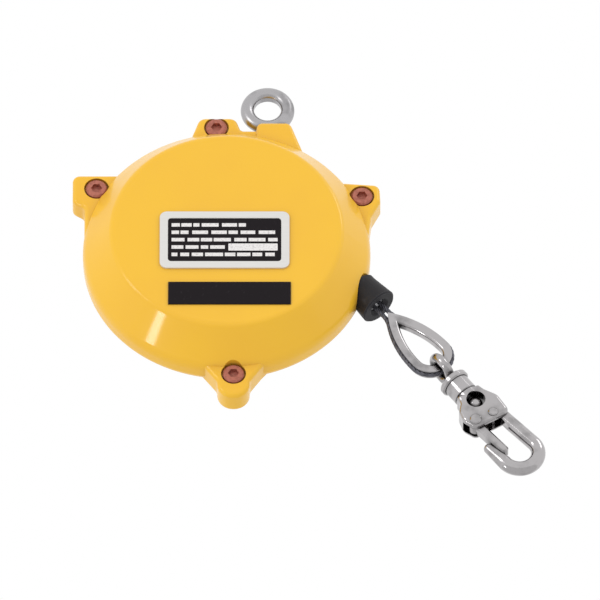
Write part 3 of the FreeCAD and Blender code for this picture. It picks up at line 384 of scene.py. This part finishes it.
def black_film():
    """Screen-printed or vinyl film, slightly glossy, with dust and hairline scratches."""
    dust_colour = (0.09, 0.08, 0.09)
    finish = settings().finish
    shader = Shader("black_film")
    specks = shader.noise(size=1.3, detail=6.0, roughness=0.7)
    dust = shader.ramp(specks, low=0.58, high=0.75)
    lines = shader.noise(size=0.5, detail=3.0, stretch=(0.04, 1, 1))
    hair = shader.ramp(lines, low=0.62, high=0.7)
    return shader.finish(Base_Color=shader.mix(dust * 0.25, finish.film, dust_colour),
                         Roughness=0.34 + 0.2 * dust + 0.12 * hair, Specular_IOR_Level=0.12,
                         Normal=shader.bump(shader.noise(size=2.0, detail=2.0),
                                            depth=0.02, strength=0.3))


def print_white():
    """Light print on the film, a little uneven."""
    fresh, faded = (0.86, 0.83, 0.82), (0.50, 0.46, 0.47)
    shader = Shader("print_white")
    wear = shader.ramp(shader.noise(size=0.9, detail=5.0), low=0.45, high=0.8)
    return shader.finish(Base_Color=shader.mix(wear, fresh, faded), Roughness=0.45 + 0.15 * wear,
                         Normal=shader.bump(wear, depth=0.01, strength=0.3))


def moulded_rubber():
    """Moulded black rubber with a fine matt grain and chalky scuffs."""
    chalk_colour = (0.085, 0.088, 0.10)
    finish = settings().finish
    shader = Shader("moulded_rubber")
    grain = shader.noise(size=0.25, detail=3.0)
    chalk = shader.ramp(shader.noise(size=3.5, detail=5.0), low=0.55, high=0.8)
    edge = shader.edges(reach=0.6)
    base = shader.mix((chalk * 0.35 + edge * 0.5).clamped(), finish.rubber, chalk_colour)
    return shader.finish(Base_Color=base, Roughness=0.55 + 0.2 * chalk, Specular_IOR_Level=0.25,
                         Normal=shader.bump(grain, depth=0.03, strength=0.5))


def dark_polymer():
    """Moulded bush, nearly black."""
    black, grey = (0.03, 0.03, 0.034), (0.06, 0.06, 0.065)
    shader = Shader("dark_polymer")
    cloud = shader.noise(size=1.5, detail=4.0)
    return shader.finish(Base_Color=shader.mix(cloud, black, grey), Roughness=0.42 + 0.15 * cloud,
                         Normal=shader.bump(cloud, depth=0.02, strength=0.3))


def rope_wire():
    """Oiled wire: each strand's wires show as fine slanting lines."""
    finish = settings().finish
    shader = Shader("rope_wire")
    wires = shader.noise(size=0.28, detail=2.0, stretch=(1, 1, 0.35))
    grime = shader.ramp(shader.noise(size=2.2, detail=5.0), low=0.45, high=0.75)
    base = shader.mix(grime * 0.8, finish.rope, darker(finish.rope, 0.35))
    return shader.finish(Base_Color=base, Metallic=0.8,
                         Roughness=0.34 + 0.2 * grime + 0.1 * wires,
                         Normal=shader.bump(wires, depth=0.06, strength=0.7))


def cast_alloy():
    """Sand-blasted casting with soft pores."""
    bright, dull = (0.56, 0.57, 0.59), (0.40, 0.41, 0.43)
    shader = Shader("cast_alloy")
    pores = shader.ramp(shader.cells(size=0.8), low=0.05, high=0.45)
    cloud = shader.noise(size=7.0, detail=4.0)
    return shader.finish(Base_Color=shader.mix(cloud * 0.6, bright, dull),
                         Metallic=0.9, Roughness=0.42 + 0.15 * cloud,
                         Normal=shader.bump(pores, depth=0.05, strength=0.4))


def bearing_bronze():
    """Sintered bronze with a fine grain."""
    bright, dull = (0.50, 0.32, 0.12), (0.36, 0.22, 0.09)
    shader = Shader("bearing_bronze")
    grain = shader.noise(size=0.4, detail=4.0)
    return shader.finish(Base_Color=shader.mix(grain, bright, dull),
                         Metallic=1.0, Roughness=0.34 + 0.12 * grain,
                         Normal=shader.bump(grain, depth=0.02, strength=0.3))


def blued_spring():
    """Rolled spring steel with temper colours along the strip."""
    blue, straw = (0.16, 0.19, 0.28), (0.30, 0.27, 0.24)
    shader = Shader("blued_spring")
    temper = shader.ramp(shader.noise(size=6.0, detail=2.0), low=0.35, high=0.65)
    rolled = shader.noise(size=0.3, detail=2.0, stretch=(1, 0.06, 1))
    return shader.finish(Base_Color=shader.mix(temper, blue, straw),
                         Metallic=1.0, Roughness=0.26 + 0.12 * rolled,
                         Normal=shader.bump(rolled, depth=0.01, strength=0.3))


def ferrule_zinc():
    """Pressed sleeve, dull grey where the die has marked it."""
    bright, dull = (0.34, 0.34, 0.35), (0.13, 0.13, 0.14)
    shader = Shader("ferrule_zinc")
    tarnish = shader.ramp(shader.noise(size=1.6, detail=5.0), low=0.4, high=0.7)
    return shader.finish(Base_Color=shader.mix(tarnish, bright, dull),
                         Metallic=1.0, Roughness=0.3 + 0.25 * tarnish,
                         Normal=shader.bump(tarnish, depth=0.03, strength=0.4))


FINISHES = {
    powder_paint: ("front_cover", "rear_cover"),
    suspension_zinc: ("suspension_eye",),
    screw_plating: ("housing_screws",),
    hook_plating: ("thimble", "swivel_link", "swivel_rivet", "snap_hook", "gate", "gate_rivets"),
    turned_steel: ("main_shaft", "ratchet_wheel", "pawl_pin", "pawl", "drum_cover_screws"),
    plate_aluminium: ("nameplate",),
    black_film: ("name_strip",),
    moulded_rubber: ("bumper",),
    dark_polymer: ("guide_bush",),
    rope_wire: ("cable_wraps", "cable_run", "cable_loop"),
    cast_alloy: ("drum", "drum_cover"),
    bearing_bronze: ("thrust_washers", "drum_bushes"),
    blued_spring: ("power_spring", "gate_spring", "shaft_clip", "pawl_spring"),
    ferrule_zinc: ("ferrule", "cable_anchor"),
}


def made(finish):
    """The material of a finish, made once."""
    return bpy.data.materials.get(finish.__name__) or finish()


# ---------------------------------------------------------------------------
# Mesh helpers
# ---------------------------------------------------------------------------
def add_piece(name, mesh, finish, body):
    """Puts a mesh in the scene, finished and tied to a body where these are given."""
    piece = bpy.data.objects.new(name, mesh)
    bpy.context.scene.collection.objects.link(piece)
    if finish:
        mesh.materials.clear()
        mesh.materials.append(made(finish))
    if body:
        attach(piece, body)
    return piece


def rounded_rectangle(width, height, corner, steps=6):
    """Outline points about the origin, anticlockwise."""
    points = []
    for quarter, (sign_x, sign_z) in enumerate(((1, 1), (-1, 1), (-1, -1), (1, -1))):
        centre = Vector((sign_x * (width / 2 - corner), sign_z * (height / 2 - corner)))
        for step in range(steps + 1):
            angle = math.pi / 2 * (quarter + step / steps)
            points.append(centre + corner * Vector((math.cos(angle), math.sin(angle))))
    return points


def slab(name, outline, centre, thickness):
    """Flat piece in the XZ plane from an outline; it grows from centre towards -Y."""
    mesh = bpy.data.meshes.new(name)
    shape = bmesh.new()
    back = [shape.verts.new(centre + Vector((p.x, 0, p.y))) for p in outline]
    front = [shape.verts.new(v.co - Vector((0, thickness, 0))) for v in back]
    shape.faces.new(front)
    shape.faces.new(list(reversed(back)))
    for index in range(len(back)):
        after = (index + 1) % len(back)
        shape.faces.new((back[index], back[after], front[after], front[index]))
    bmesh.ops.recalc_face_normals(shape, faces=shape.faces)
    shape.to_mesh(mesh)
    shape.free()
    return mesh


def evaluated_mesh(holder, name):
    """Mesh that an object's modifiers give, as plain data."""
    graph = bpy.context.evaluated_depsgraph_get()
    graph.update()
    mesh = bpy.data.meshes.new_from_object(holder.evaluated_get(graph))
    mesh.name = name
    bpy.data.objects.remove(holder)
    return mesh


# ---------------------------------------------------------------------------
# Geometry Nodes trees
# ---------------------------------------------------------------------------
class Tree:
    """A Geometry Nodes tree with named inputs."""

    def __init__(self, name):
        self.group = bpy.data.node_groups.new(name, "GeometryNodeTree")
        for side in ("INPUT", "OUTPUT"):
            self.group.interface.new_socket("Geometry", in_out=side,
                                            socket_type="NodeSocketGeometry")
        self.source = self.group.nodes.new("NodeGroupInput")
        self.result = self.group.nodes.new("NodeGroupOutput")

    def input(self, name, kind, default):
        socket = self.group.interface.new_socket(name, in_out="INPUT",
                                                 socket_type="NodeSocket" + kind)
        socket.default_value = default
        return self.source.outputs[name]

    def node(self, kind, options=None, inputs=None, output=0):
        made_node = self.group.nodes.new(kind)
        for key, value in (options or {}).items():
            setattr(made_node, key, value)
        for key, value in (inputs or {}).items():
            if isinstance(value, bpy.types.NodeSocket):
                self.group.links.new(value, made_node.inputs[key])
            else:
                made_node.inputs[key].default_value = value
        return made_node.outputs[output]

    def math(self, operation, first, second=0.0):
        return self.node("ShaderNodeMath", {"operation": operation}, {0: first, 1: second}, "Value")

    def close(self, geometry, material):
        """Ends the tree with plain geometry in one material."""
        whole = self.node("GeometryNodeRealizeInstances", {}, {"Geometry": geometry})
        dressed = self.node("GeometryNodeSetMaterial", {},
                            {"Geometry": whole, "Material": material})
        self.group.links.new(dressed, self.result.inputs["Geometry"])

    def run(self, holder, name, **values):
        """Mesh that this tree makes from the holder with the given inputs."""
        modifier = holder.modifiers.new("shape", "NODES")
        modifier.node_group = self.group
        keys = {item.name: item.identifier for item in self.group.interface.items_tree
                if item.in_out == "INPUT"}
        for key, value in values.items():
            modifier[keys[key.replace("_", " ")]] = value
        return evaluated_mesh(holder, name)


def holder_for(data, name):
    """Object that carries data while its modifiers are evaluated."""
    holder = bpy.data.objects.new(name, data)
    bpy.context.scene.collection.objects.link(holder)
    return holder


def path_curve(points, name):
    """Poly curve through points, so that a tree can follow it."""
    curve = bpy.data.curves.new(name, "CURVE")
    curve.dimensions = "3D"
    curve.twist_mode = "MINIMUM"
    spline = curve.splines.new("POLY")
    spline.points.add(len(points) - 1)
    for target, point in zip(spline.points, points):
        target.co = (*point, 1.0)
    return curve


def strand_tree(finish):
    """Twisted strands: a lobed outline carried along a path while it turns."""
    tree = Tree("wire_strands")
    radius = tree.input("Radius", "Float", 0.001)
    lobes = tree.input("Strands", "Int", 6)
    groove = tree.input("Groove", "Float", 0.2)
    lay = tree.input("Lay", "Float", 0.013)
    step = tree.input("Step", "Float", 0.0006)
    path = tree.node("GeometryNodeResampleCurve", {"mode": "LENGTH"},
                     {"Curve": tree.source.outputs["Geometry"], "Length": step})
    travelled = tree.node("GeometryNodeSplineParameter", output="Length")
    turn = tree.math("MULTIPLY", tree.math("DIVIDE", travelled, lay), 2 * math.pi)
    twisted = tree.node("GeometryNodeSetCurveTilt", {}, {"Curve": path, "Tilt": turn})
    outline = tree.node("GeometryNodeCurvePrimitiveCircle", {},
                        {"Resolution": 30, "Radius": radius})
    share = tree.node("GeometryNodeSplineParameter", output="Factor")
    angle = tree.math("MULTIPLY", tree.math("MULTIPLY", share, lobes), math.pi)
    dip = tree.math("SUBTRACT", 1.0, tree.math("ABSOLUTE", tree.math("SINE", angle)))
    scale = tree.math("SUBTRACT", 1.0, tree.math("MULTIPLY", dip, groove))
    place = tree.node("GeometryNodeInputPosition")
    moved = tree.node("ShaderNodeVectorMath", {"operation": "SCALE"}, {0: place, "Scale": scale})
    lobed = tree.node("GeometryNodeSetPosition", {}, {"Geometry": outline, "Position": moved})
    rope = tree.node("GeometryNodeCurveToMesh", {}, {"Curve": twisted, "Profile Curve": lobed,
                                                     "Fill Caps": True})
    smooth = tree.node("GeometryNodeSetShadeSmooth", {}, {"Geometry": rope})
    tree.close(smooth, made(finish))
    return tree


def bar_tree(finish):
    """Flat bar at every point of a mesh, as long as the point's own length value."""
    tree = Tree("print_bars")
    height = tree.input("Height", "Float", 0.0018)
    thickness = tree.input("Thickness", "Float", 0.00004)
    length = tree.node("GeometryNodeInputNamedAttribute", {"data_type": "FLOAT"},
                       {"Name": "bar_length"})
    bar = tree.node("GeometryNodeMeshCube", {}, {"Size": (1.0, 1.0, 1.0)}, "Mesh")
    size = tree.node("ShaderNodeCombineXYZ", {}, {0: length, 1: thickness, 2: height})
    bars = tree.node("GeometryNodeInstanceOnPoints", {},
                     {"Points": tree.source.outputs["Geometry"], "Instance": bar, "Scale": size})
    tree.close(bars, made(finish))
    return tree


def rope_mesh(points, name):
    """Wire rope of the set diameter and lay along these points."""
    rope = settings().rope
    return strand_tree(rope_wire).run(holder_for(path_curve(points, name), name), name,
                                      Radius=rope.diameter / 2, Strands=rope.strands,
                                      Groove=rope.groove, Lay=rope.lay)


# ---------------------------------------------------------------------------
# Pieces
# ---------------------------------------------------------------------------
class BALANCER_OT_finishes(bpy.types.Operator):
    """Give every solid its finish"""
    bl_idname = "balancer.finishes"
    bl_label = "Finishes"

    def execute(self, context):
        for finish, names in FINISHES.items():
            for name in names:
                mesh = NODES[name].data
                mesh.materials.clear()
                mesh.materials.append(made(finish))
        return {"FINISHED"}


class BALANCER_OT_nameplate(bpy.types.Operator):
    """Lay the printed field, its rows of bars and the writing box in the plate's recess"""
    bl_idname = "balancer.nameplate"
    bl_label = "Nameplate"

    film_gap = 0.12 * MM              # film's edge to the side of the recess
    film_corner = 1.4 * MM
    ink = 0.03 * MM                   # thickness of the print
    box_corner = 0.3 * MM
    box_corner_steps = 3
    box_clearance = 1.5 * MM          # end of the bars to the writing box
    blank_share = 0.28                # right part of the first row that stays blank
    row_end = 1.5 * MM                # a row takes no bar where less than this is left
    bar_lengths = (2.2, 7.5)          # shortest and longest bar, in millimetres
    bar_gaps = (0.5, 1.6)             # the same for the gap between two bars

    def execute(self, context):
        plate = settings().plate
        low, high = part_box("nameplate")
        width = high.x - low.x - 2 * (plate.border + self.film_gap)
        height = high.z - low.z - 2 * (plate.border + self.film_gap)
        floor = low.y + plate.recess
        centre = Vector(((low.x + high.x) / 2, floor, (low.z + high.z) / 2))
        outline = rounded_rectangle(width, height, self.film_corner)
        field = slab("nameplate_field", outline, centre, plate.film)
        add_piece("nameplate_field", field, black_film, "housing")
        self.print_rows(plate, centre, width, height, floor - plate.film)
        return {"FINISHED"}

    def print_rows(self, plate, centre, width, height, level):
        """Uneven bars where a plate carries its data, and one blank writing box."""
        chance = random.Random(plate.seed)
        left = centre.x - width / 2 + plate.row_margin
        right = centre.x + width / 2 - plate.row_margin
        top = centre.z + height / 2 - plate.row_margin
        pitch = (height - 2 * plate.row_margin) / plate.rows
        box_row = plate.rows - 2
        points, lengths = [], []
        for row in range(plate.rows):
            row_z = top - (row + 0.5) * pitch
            cursor = left
            end = right
            if row == 0:
                end = right - self.blank_share * width
            elif row == box_row:
                end = right - plate.box_width - self.box_clearance
            while cursor < end - self.row_end:
                length = min(chance.uniform(*self.bar_lengths) * MM, end - cursor)
                points.append((cursor + length / 2, level - self.ink / 2, row_z))
                lengths.append(length)
                cursor += length + chance.uniform(*self.bar_gaps) * MM
        mesh = bpy.data.meshes.new("bar_points")
        mesh.from_pydata(points, [], [])
        mesh.attributes.new("bar_length", "FLOAT", "POINT").data.foreach_set("value", lengths)
        bars = bar_tree(print_white).run(holder_for(mesh, "bars"), "nameplate_bars",
                                         Height=plate.row_height, Thickness=self.ink)
        add_piece("nameplate_bars", bars, None, "housing")
        box_centre = Vector((right - plate.box_width / 2, level, top - (box_row + 0.5) * pitch))
        outline = rounded_rectangle(plate.box_width, plate.box_height,
                                    self.box_corner, self.box_corner_steps)
        box = slab("nameplate_box", outline, box_centre, self.ink)
        add_piece("nameplate_box", box, print_white, "housing")


class BALANCER_OT_rope_loop(bpy.types.Operator):
    """Twisted wire rope round the thimble, in place of the plain tube"""
    bl_idname = "balancer.rope_loop"
    bl_label = "Rope loop"

    neck_steps = 8                    # points on each arc of the route
    side_steps = 24
    end_steps = 20

    def execute(self, context):
        rope = settings().rope
        points = [self.on_line(rope, along, across) for along, across in self.route(rope)]
        mesh = rope_mesh(points, "rope_loop")
        piece = add_piece("rope_loop", mesh, None, "cable_end")
        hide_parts("cable_loop")
        return {"FINISHED"}

    def on_line(self, rope, along, across):
        """Point at a distance past the loop's round end centre, and across the rope line."""
        line = joint_axis("cable_pull")
        side = Vector((-line.z, 0, line.x))
        return joint_place("link_swing") + line * (along - rope.end_to_pivot) + side * across

    def route(self, rope):
        """Half of the loop's centre line as (along, across), then its mirror image."""
        low = rope.loop_radius - rope.side_radius
        rise = rope.strand_offset + rope.neck_radius - low
        span = rope.side_radius + rope.neck_radius
        bend = -math.sqrt(span ** 2 - rise ** 2)
        meet_angle = math.atan2(rise, bend)
        points = [(bend - rope.tail, rope.strand_offset),
                  (bend - rope.tail / 2, rope.strand_offset)]
        neck_centre = (bend, rope.strand_offset + rope.neck_radius)
        points += self.arc(neck_centre, rope.neck_radius, -math.pi / 2, meet_angle - math.pi,
                           self.neck_steps)
        points += self.arc((0.0, low), rope.side_radius, meet_angle, math.pi / 2,
                           self.side_steps)[1:]
        points += self.arc((0.0, 0.0), rope.loop_radius, math.pi / 2, 0.0, self.end_steps)[1:]
        return points + [(along, -across) for along, across in reversed(points[:-1])]

    def arc(self, centre, radius, start, end, steps):
        """Points of an arc as (along, across), both ends included."""
        angles = [start + (end - start) * step / steps for step in range(steps + 1)]
        return [(centre[0] + radius * math.cos(angle), centre[1] + radius * math.sin(angle))
                for angle in angles]


class BALANCER_OT_rope_run(bpy.types.Operator):
    """Rope from the drum through the bush to the bumper"""
    bl_idname = "balancer.rope_run"
    bl_label = "Rope run"

    steps = 40                        # points on each of the run's two halves

    def execute(self, context):
        rope = settings().rope
        line = joint_axis("cable_pull")
        centre = joint_place("drum_spin")
        pivot = joint_place("link_swing")
        foot = pivot + line * (centre - pivot).dot(line)
        bush_low, bush_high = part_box("guide_bush")
        bush_middle = ((bush_low + bush_high) / 2 - foot).dot(line)
        bumper_low, bumper_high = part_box("bumper")
        bumper_middle = ((bumper_low + bumper_high) / 2 - foot).dot(line)
        run_low, run_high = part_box("cable_run")
        start = Vector((run_low.x + rope.diameter / 2, run_high.y - rope.diameter / 2,
                        run_high.z - rope.diameter / 2))
        mouth = foot + line * bush_middle
        end = foot + line * bumper_middle
        points = [start.lerp(mouth, step / self.steps) for step in range(self.steps)]
        points += [mouth.lerp(end, step / self.steps) for step in range(self.steps + 1)]
        mesh = rope_mesh(points, "rope_run")
        piece = add_piece("rope_run", mesh, None, None)
        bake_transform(piece)
        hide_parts("cable_run")
        return {"FINISHED"}


class BALANCER_OT_power_spring(bpy.types.Operator):
    """Part the spring just off the arbor: its tab stays in the slot while the coils turn"""
    bl_idname = "balancer.power_spring"
    bl_label = "Power spring"

    parting: millimetres("Parting", "Drum's axis to the parting", 8.5)
    gap: millimetres("Gap", "Tab's end to the coils", 0.1)

    weld_distance = 0.001 * MM
    cutter_sides = 64

    def execute(self, context):
        self.part_of_spring("power_spring_tab", "INTERSECT", self.parting, "housing")
        coils = self.part_of_spring("power_spring_coils", "DIFFERENCE",
                                    self.parting + self.gap, "drum")
        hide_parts("power_spring")
        return {"FINISHED"}

    def part_of_spring(self, name, operation, radius, body):
        """The spring inside or outside this radius, as a piece of its own."""
        cutter = self.cutter(radius)
        holder = holder_for(self.merged_spring(), name)
        cut = holder.modifiers.new("cut", "BOOLEAN")
        cut.operation = operation
        cut.solver = "EXACT"
        cut.object = cutter
        mesh = evaluated_mesh(holder, name)
        bpy.data.objects.remove(cutter)
        return add_piece(name, mesh, blued_spring, body)

    def merged_spring(self):
        """Copy of the spring with its loose triangles joined."""
        shape = bmesh.new()
        shape.from_mesh(NODES["power_spring"].data)
        bmesh.ops.remove_doubles(shape, verts=shape.verts, dist=self.weld_distance)
        mesh = bpy.data.meshes.new("merged_spring")
        shape.to_mesh(mesh)
        shape.free()
        return mesh

    def cutter(self, radius):
        """Cylinder about the drum's axis, twice as long as the spring's strip is wide."""
        low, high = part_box("power_spring")
        centre = joint_place("drum_spin")
        middle = Vector((centre.x, (low.y + high.y) / 2, centre.z))
        placing = Matrix.Translation(middle) @ Matrix.Rotation(math.pi / 2, 4, "X")
        shape = bmesh.new()
        bmesh.ops.create_cone(shape, cap_ends=True, segments=self.cutter_sides, radius1=radius,
                              radius2=radius, depth=2 * (high.y - low.y), matrix=placing)
        mesh = bpy.data.meshes.new("cutter")
        shape.to_mesh(mesh)
        shape.free()
        return holder_for(mesh, "cutter")


class BALANCER_OT_pawl_spring(bpy.types.Operator):
    """Wound torsion spring round the pawl's pin, in place of the plain sleeve"""
    bl_idname = "balancer.pawl_spring"
    bl_label = "Pawl spring"

    turns: bpy.props.IntProperty(name="Turns", description="Turns of wire", default=3, min=1)
    wire: millimetres("Wire", "Radius of the spring wire", 0.26)

    coil_radius = 2.45 * MM           # pin's axis to the wire's centre line
    pawl_gap = 0.05 * MM              # pawl's face to the first turn
    long_leg = 5.0 * MM               # leg on the pawl
    short_leg = 4.0 * MM              # leg against the housing
    steps_per_turn = 20
    wire_step = 0.3 * MM              # between the rings of the wire's mesh

    def execute(self, context):
        pawl_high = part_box("pawl")[1]
        spring_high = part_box("pawl_spring")[1]
        centre = joint_place("pawl_release")
        radius = self.coil_radius
        start_y = pawl_high.y + self.wire + self.pawl_gap
        end_y = spring_high.y - self.wire
        toward = self.contact_direction(centre)
        first_angle = math.atan2(toward.z, toward.x) + math.pi / 2
        steps = self.steps_per_turn * self.turns
        coil = []
        for step in range(steps + 1):
            angle = first_angle - 2 * math.pi * self.turns * step / steps
            height = start_y + (end_y - start_y) * step / steps
            coil.append(Vector((centre.x + radius * math.cos(angle), height,
                                centre.z + radius * math.sin(angle))))
        leg_start = coil[0] + toward * self.long_leg
        leg_end = coil[-1] - toward * self.short_leg
        tree = strand_tree(blued_spring)
        holder = holder_for(path_curve([leg_start, *coil, leg_end], "spring_path"), "spring_path")
        mesh = tree.run(holder, "pawl_torsion_spring", Radius=self.wire, Groove=0.0,
                        Step=self.wire_step)
        piece = add_piece("pawl_torsion_spring", mesh, None, "housing")
        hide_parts("pawl_spring")
        return {"FINISHED"}

    def contact_direction(self, centre):
        """From the pawl's pin to its nose on the wheel."""
        pawl_low, pawl_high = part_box("pawl")
        nose = Vector((pawl_high.x, centre.y, pawl_low.z))
        return Vector((nose.x - centre.x, 0, nose.z - centre.z)).normalized()


class BALANCER_OT_stage(bpy.types.Operator):
    """Camera from below, soft lamps, a white surround and a pale floor"""
    bl_idname = "balancer.stage"
    bl_label = "Stage"

    # name, direction from the housing, width and height in metres, share of the key's power
    lamps = (("key_lamp", (-0.70, -0.70, 0.05), 0.55, 0.40, 1.0),
             ("fill_lamp", (0.60, -0.40, 0.70), 0.50, 0.50, 0.7),
             ("glint_lamp", (-0.757, -0.275, -0.594), 0.16, 0.16, 0.55))
    lamp_distance = 1.6
    sensor_width = 36.0
    view_right = 0.238                # middle of the view from the drum's axis, in housing widths
    view_down = 0.168
    clip_reach = 10.0                 # these three in camera distances
    floor_drop = 4.0
    floor_reach = 10.0
    floor_bright = (0.86, 0.86, 0.86)
    floor_dull = (0.80, 0.80, 0.80)
    floor_cloud = 600.0               # size of the floor's patches, in millimetres

    def execute(self, context):
        stage = settings().stage
        target = self.target()
        self.camera(stage, target)
        self.world(stage)
        body_low, body_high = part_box("front_cover")
        body = (body_low + body_high) / 2
        for name, direction, width, height, share in self.lamps:
            self.lamp(name, body, Vector(direction), width, height, stage.key * share)
        self.floor(stage, target)
        context.scene.view_settings.view_transform = "Standard"
        return {"FINISHED"}

    def target(self):
        """Point in the middle of the view: right of and below the drum's axis."""
        low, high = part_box("front_cover")
        width = high.x - low.x
        offset = Vector((self.view_right * width, 0.0, -self.view_down * width))
        return joint_place("drum_spin") + offset

    def camera(self, stage, target):
        data = bpy.data.cameras.new("camera")
        data.sensor_width = self.sensor_width
        data.lens = data.sensor_width * stage.distance / stage.width
        data.clip_end = stage.distance * self.clip_reach
        away = Vector((0, -math.cos(stage.elevation), math.sin(stage.elevation)))
        camera = bpy.data.objects.new("camera", data)
        camera.location = target + away * stage.distance
        camera.rotation_euler = (math.pi / 2 - stage.elevation, 0.0, 0.0)
        bpy.context.scene.collection.objects.link(camera)
        bpy.context.scene.camera = camera

    def world(self, stage):
        """Even light from all round, which the camera and mirrors see as plain white."""
        world = bpy.data.worlds.new("surround")
        world.use_nodes = True
        nodes = world.node_tree.nodes
        links = world.node_tree.links
        background = nodes["Background"]
        path = nodes.new("ShaderNodeLightPath")
        seen = path.outputs["Is Camera Ray"]
        for name in ("Is Glossy Ray", "Is Transmission Ray"):
            either = nodes.new("ShaderNodeMath")
            either.operation = "MAXIMUM"
            links.new(seen, either.inputs[0])
            links.new(path.outputs[name], either.inputs[1])
            seen = either.outputs[0]
        level = nodes.new("ShaderNodeMapRange")
        level.inputs["To Min"].default_value = stage.ambient
        level.inputs["To Max"].default_value = 1.0
        links.new(seen, level.inputs["Value"])
        background.inputs["Color"].default_value = (1.0, 1.0, 1.0, 1.0)
        links.new(level.outputs[0], background.inputs["Strength"])
        bpy.context.scene.world = world

    def lamp(self, name, body, direction, width, height, power):
        """Soft box that faces the housing."""
        data = bpy.data.lights.new(name, "AREA")
        data.shape = "RECTANGLE"
        data.size = width
        data.size_y = height
        data.energy = power
        lamp = bpy.data.objects.new(name, data)
        lamp.location = body + direction.normalized() * self.lamp_distance
        lamp.rotation_euler = direction.to_track_quat("Z", "Y").to_euler()
        bpy.context.scene.collection.objects.link(lamp)

    def floor(self, stage, target):
        """Pale floor, so far below that a camera under the hanging object stays above it."""
        level = target.z - stage.distance * self.floor_drop
        half = stage.distance * self.floor_reach
        mesh = bpy.data.meshes.new("floor")
        mesh.from_pydata([(-half, -half, level), (half, -half, level), (half, half, level),
                          (-half, half, level)], [], [(0, 1, 2, 3)])
        floor = bpy.data.objects.new("floor", mesh)
        bpy.context.scene.collection.objects.link(floor)
        shader = Shader("floor_paint")
        cloud = shader.noise(size=self.floor_cloud, detail=3.0)
        base = shader.mix(cloud, self.floor_bright, self.floor_dull)
        mesh.materials.append(shader.finish(Base_Color=base, Roughness=0.8))


OPERATORS = (BALANCER_OT_stage, BALANCER_OT_finishes, BALANCER_OT_nameplate,
             BALANCER_OT_rope_loop, BALANCER_OT_rope_run, BALANCER_OT_power_spring,
             BALANCER_OT_pawl_spring)


class BALANCER_PT_panel(bpy.types.Panel):
    """Sidebar panel with the balancer's settings and steps"""
    bl_idname = "BALANCER_PT_panel"
    bl_label = "Tool Balancer"
    bl_space_type = "VIEW_3D"
    bl_region_type = "UI"
    bl_category = "Balancer"

    def draw(self, context):
        groups = context.scene.balancer
        for group in (groups.finish, groups.plate, groups.rope, groups.stage):
            box = self.layout.box()
            for name in group.__annotations__:
                box.prop(group, name)
        for operator in OPERATORS:
            self.layout.operator(operator.bl_idname)


CLASSES = (BalancerFinish, BalancerPlate, BalancerRope, BalancerStage, BalancerSettings,
           *OPERATORS, BALANCER_PT_panel)


def register():
    for each in CLASSES:
        bpy.utils.register_class(each)
    bpy.types.Scene.balancer = bpy.props.PointerProperty(type=BalancerSettings)


def unregister():
    del bpy.types.Scene.balancer
    for each in reversed(CLASSES):
        bpy.utils.unregister_class(each)


def main():
    register()
    bpy.ops.balancer.stage()
    bpy.ops.balancer.finishes()
    bpy.ops.balancer.nameplate()
    bpy.ops.balancer.rope_loop()
    bpy.ops.balancer.rope_run()
    bpy.ops.balancer.power_spring()
    bpy.ops.balancer.pawl_spring()


if __name__ == "__main__":
    main()
